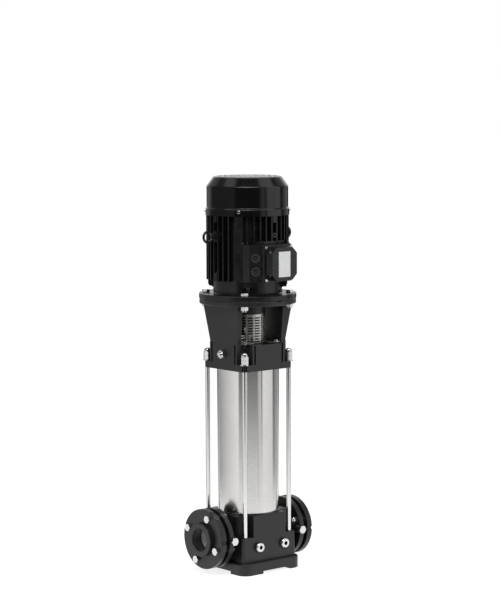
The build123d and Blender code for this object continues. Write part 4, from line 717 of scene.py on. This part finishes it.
class PUMP_OT_studio(bpy.types.Operator):
    """Pale floor, soft light, reflection cards and the camera"""

    bl_idname = "pump.studio"
    bl_label = "Studio"

    def execute(self, context):
        studio = context.scene.pump_studio
        scene = context.scene
        deselect()
        bpy.ops.mesh.primitive_circle_add(vertices=FLOOR_SIDES, radius=FLOOR_RADIUS,
                                          fill_type="NGON")
        floor = bpy.context.active_object
        floor.name = "studio_floor"
        floor.data.materials.append(self.floor_material())
        self.world(scene, studio)
        for card in CARDS:
            self.card(studio.heading, *card)
        for lamp in LAMPS:
            self.lamp(scene, studio, *lamp)
        self.camera(scene, studio)
        scene.view_settings.view_transform = "Standard"
        return {"FINISHED"}

    def lamp(self, scene, studio, name, turn, distance, height, size, power, share, reflected):
        """Area light that faces the middle of the pump."""
        light = bpy.data.lights.new(name, "AREA")
        light.shape = "RECTANGLE"
        light.size, light.size_y = size
        light.energy = getattr(studio, power) * share
        lamp = bpy.data.objects.new(name, light)
        scene.collection.objects.link(lamp)
        angle = studio.heading - radians(turn)
        lamp.location = (-sin(angle) * distance, -cos(angle) * distance, height)
        lamp.rotation_euler = (LAMP_AIM - lamp.location).to_track_quat("-Z", "Y").to_euler()
        lamp.visible_glossy = reflected

    def card(self, heading, name, first, last, radius, strengths, levels):
        """Curved card that only reflections see, shaded by height and by turn."""
        deselect()
        start = -pi / 2 - heading + radians(first)
        width = radians(last - first)
        low, high = levels[0][0], levels[-1][0]
        bpy.ops.mesh.primitive_cylinder_add(vertices=CARD_FACES, radius=radius, depth=high - low,
                                            end_fill_type="NOTHING", rotation=(0, 0, start),
                                            location=(0, 0, (low + high) / 2))
        card = settle()
        card.name = name
        pick_faces(card, lambda face:
                   (atan2(face.center.y, face.center.x) - start) % (2 * pi) > width)
        bpy.ops.mesh.delete(type="FACE")
        bpy.ops.object.mode_set(mode="OBJECT")
        card.data.materials.append(self.card_material(name, start, width, strengths, levels))
        card.visible_camera = card.visible_diffuse = card.visible_shadow = False
        card.visible_transmission = card.visible_volume_scatter = False

    def card_material(self, name, start, width, strengths, levels):
        """Light of a card: a grey for each height, times a strength for each turn."""
        graph = Graph(name)
        graph.nodes.remove(graph.shader)
        facing = graph.nodes.new("ShaderNodeMapping")
        facing.inputs["Rotation"].default_value = (0, 0, -start)
        graph.link(graph.coords, facing.inputs["Vector"])
        place = graph.split(facing.outputs["Vector"])
        turn = graph.maths("ARCTAN2", place["Y"], place["X"])
        strength = graph.remap(turn, 0.0, width, *strengths)
        low, high = levels[0][0], levels[-1][0]
        marks = [((height - low) / (high - low), value) for height, value in levels]
        grey = graph.greys(graph.remap(place["Z"], low, high, 0.0, 1.0), marks)
        return graph.show(graph.glow(strength, grey))

    def floor_material(self):
        """White with the pump's shadow where the camera sees it, dimmer far off in reflections."""
        graph = Graph("floor_white")
        graph.shader.inputs["Base Color"].default_value = (FLOOR_GREY, FLOOR_GREY, FLOOR_GREY, 1)
        graph.shader.inputs["Roughness"].default_value = 0.8
        graph.shader.inputs["Specular IOR Level"].default_value = 0.0
        matte = graph.shader.outputs["BSDF"]
        lit = graph.nodes.new("ShaderNodeAddShader")
        graph.link(matte, lit.inputs[0])
        graph.link(graph.glow(FLOOR_GLOW), lit.inputs[1])
        distance = graph.nodes.new("ShaderNodeVectorMath")
        distance.operation = "LENGTH"
        graph.link(graph.coords, distance.inputs[0])
        marks = [(place / FLOOR_REACH, value) for place, value in FLOOR_FALLOFF]
        share = graph.maths("DIVIDE", distance.outputs["Value"], FLOOR_REACH)
        mirrored = graph.glow(1.0, graph.greys(share, marks))
        rays = graph.nodes.new("ShaderNodeLightPath").outputs
        unseen = graph.choose(rays["Is Glossy Ray"], matte, mirrored)
        return graph.show(graph.choose(rays["Is Camera Ray"], unseen, lit.outputs["Shader"]))

    def world(self, scene, studio):
        """White where it is seen, at a plain level where it lights the matte surfaces."""
        world = bpy.data.worlds.new("studio_world")
        scene.world = world
        world.use_nodes = True
        nodes, links = world.node_tree.nodes, world.node_tree.links
        room = nodes["Background"]
        room.inputs["Color"].default_value = (1, 1, 1, 1)
        room.inputs["Strength"].default_value = studio.world_light
        shown = nodes.new("ShaderNodeBackground")
        shown.inputs["Color"].default_value = (1, 1, 1, 1)
        shown.inputs["Strength"].default_value = 1.0
        rays = nodes.new("ShaderNodeLightPath").outputs
        seen = rays["Is Camera Ray"]
        for ray in ("Is Glossy Ray", "Is Transmission Ray"):
            either = nodes.new("ShaderNodeMath")
            either.operation = "MAXIMUM"
            links.new(seen, either.inputs[0])
            links.new(rays[ray], either.inputs[1])
            seen = either.outputs["Value"]
        mix = nodes.new("ShaderNodeMixShader")
        links.new(seen, mix.inputs["Fac"])
        links.new(room.outputs["Background"], mix.inputs[1])
        links.new(shown.outputs["Background"], mix.inputs[2])
        links.new(mix.outputs["Shader"], nodes["World Output"].inputs["Surface"])

    def camera(self, scene, studio):
        data = bpy.data.cameras.new("pump_camera")
        data.lens = studio.lens
        data.sensor_width = 36.0
        data.shift_x, data.shift_y = LENS_SHIFT
        data.clip_end = VIEW_END
        camera = bpy.data.objects.new("pump_camera", data)
        scene.collection.objects.link(camera)
        camera.location = (-sin(studio.heading) * studio.distance,
                           -cos(studio.heading) * studio.distance, studio.height)
        camera.rotation_mode = "XYZ"
        camera.rotation_euler = (pi / 2 - studio.tilt, 0.0, -studio.heading)
        camera.rotation_euler.rotate_axis("Z", studio.roll)
        scene.camera = camera


class PUMP_PT_panel(bpy.types.Panel):
    """Sidebar panel that lists the pump's steps"""

    bl_idname = "PUMP_PT_panel"
    bl_label = "Multistage Pump"
    bl_space_type = "VIEW_3D"
    bl_region_type = "UI"
    bl_category = "Pump"

    def draw(self, context):
        for step in STEPS:
            self.layout.operator(step.bl_idname)


STEPS = (PUMP_OT_finishes, PUMP_OT_soft_edges, PUMP_OT_plug_sockets, PUMP_OT_label_plate,
         PUMP_OT_port_threads, PUMP_OT_studio)
GROUPS = {"pump_colours": PUMP_PG_colours, "pump_edges": PUMP_PG_edges,
          "pump_plate": PUMP_PG_plate, "pump_thread": PUMP_PG_thread,
          "pump_studio": PUMP_PG_studio}


def register():
    for group in GROUPS.values():
        bpy.utils.register_class(group)
    for step in (*STEPS, PUMP_PT_panel):
        bpy.utils.register_class(step)
    for name, group in GROUPS.items():
        setattr(bpy.types.Scene, name, bpy.props.PointerProperty(type=group))


def unregister():
    for name in GROUPS:
        delattr(bpy.types.Scene, name)
    for step in reversed((*STEPS, PUMP_PT_panel)):
        bpy.utils.unregister_class(step)
    for group in reversed(list(GROUPS.values())):
        bpy.utils.unregister_class(group)


def main():
    register()
    bpy.ops.pump.finishes()
    bpy.ops.pump.soft_edges()
    bpy.ops.pump.plug_sockets()
    bpy.ops.pump.label_plate()
    bpy.ops.pump.port_threads()
    bpy.ops.pump.studio()


if __name__ == "__main__":
    main()
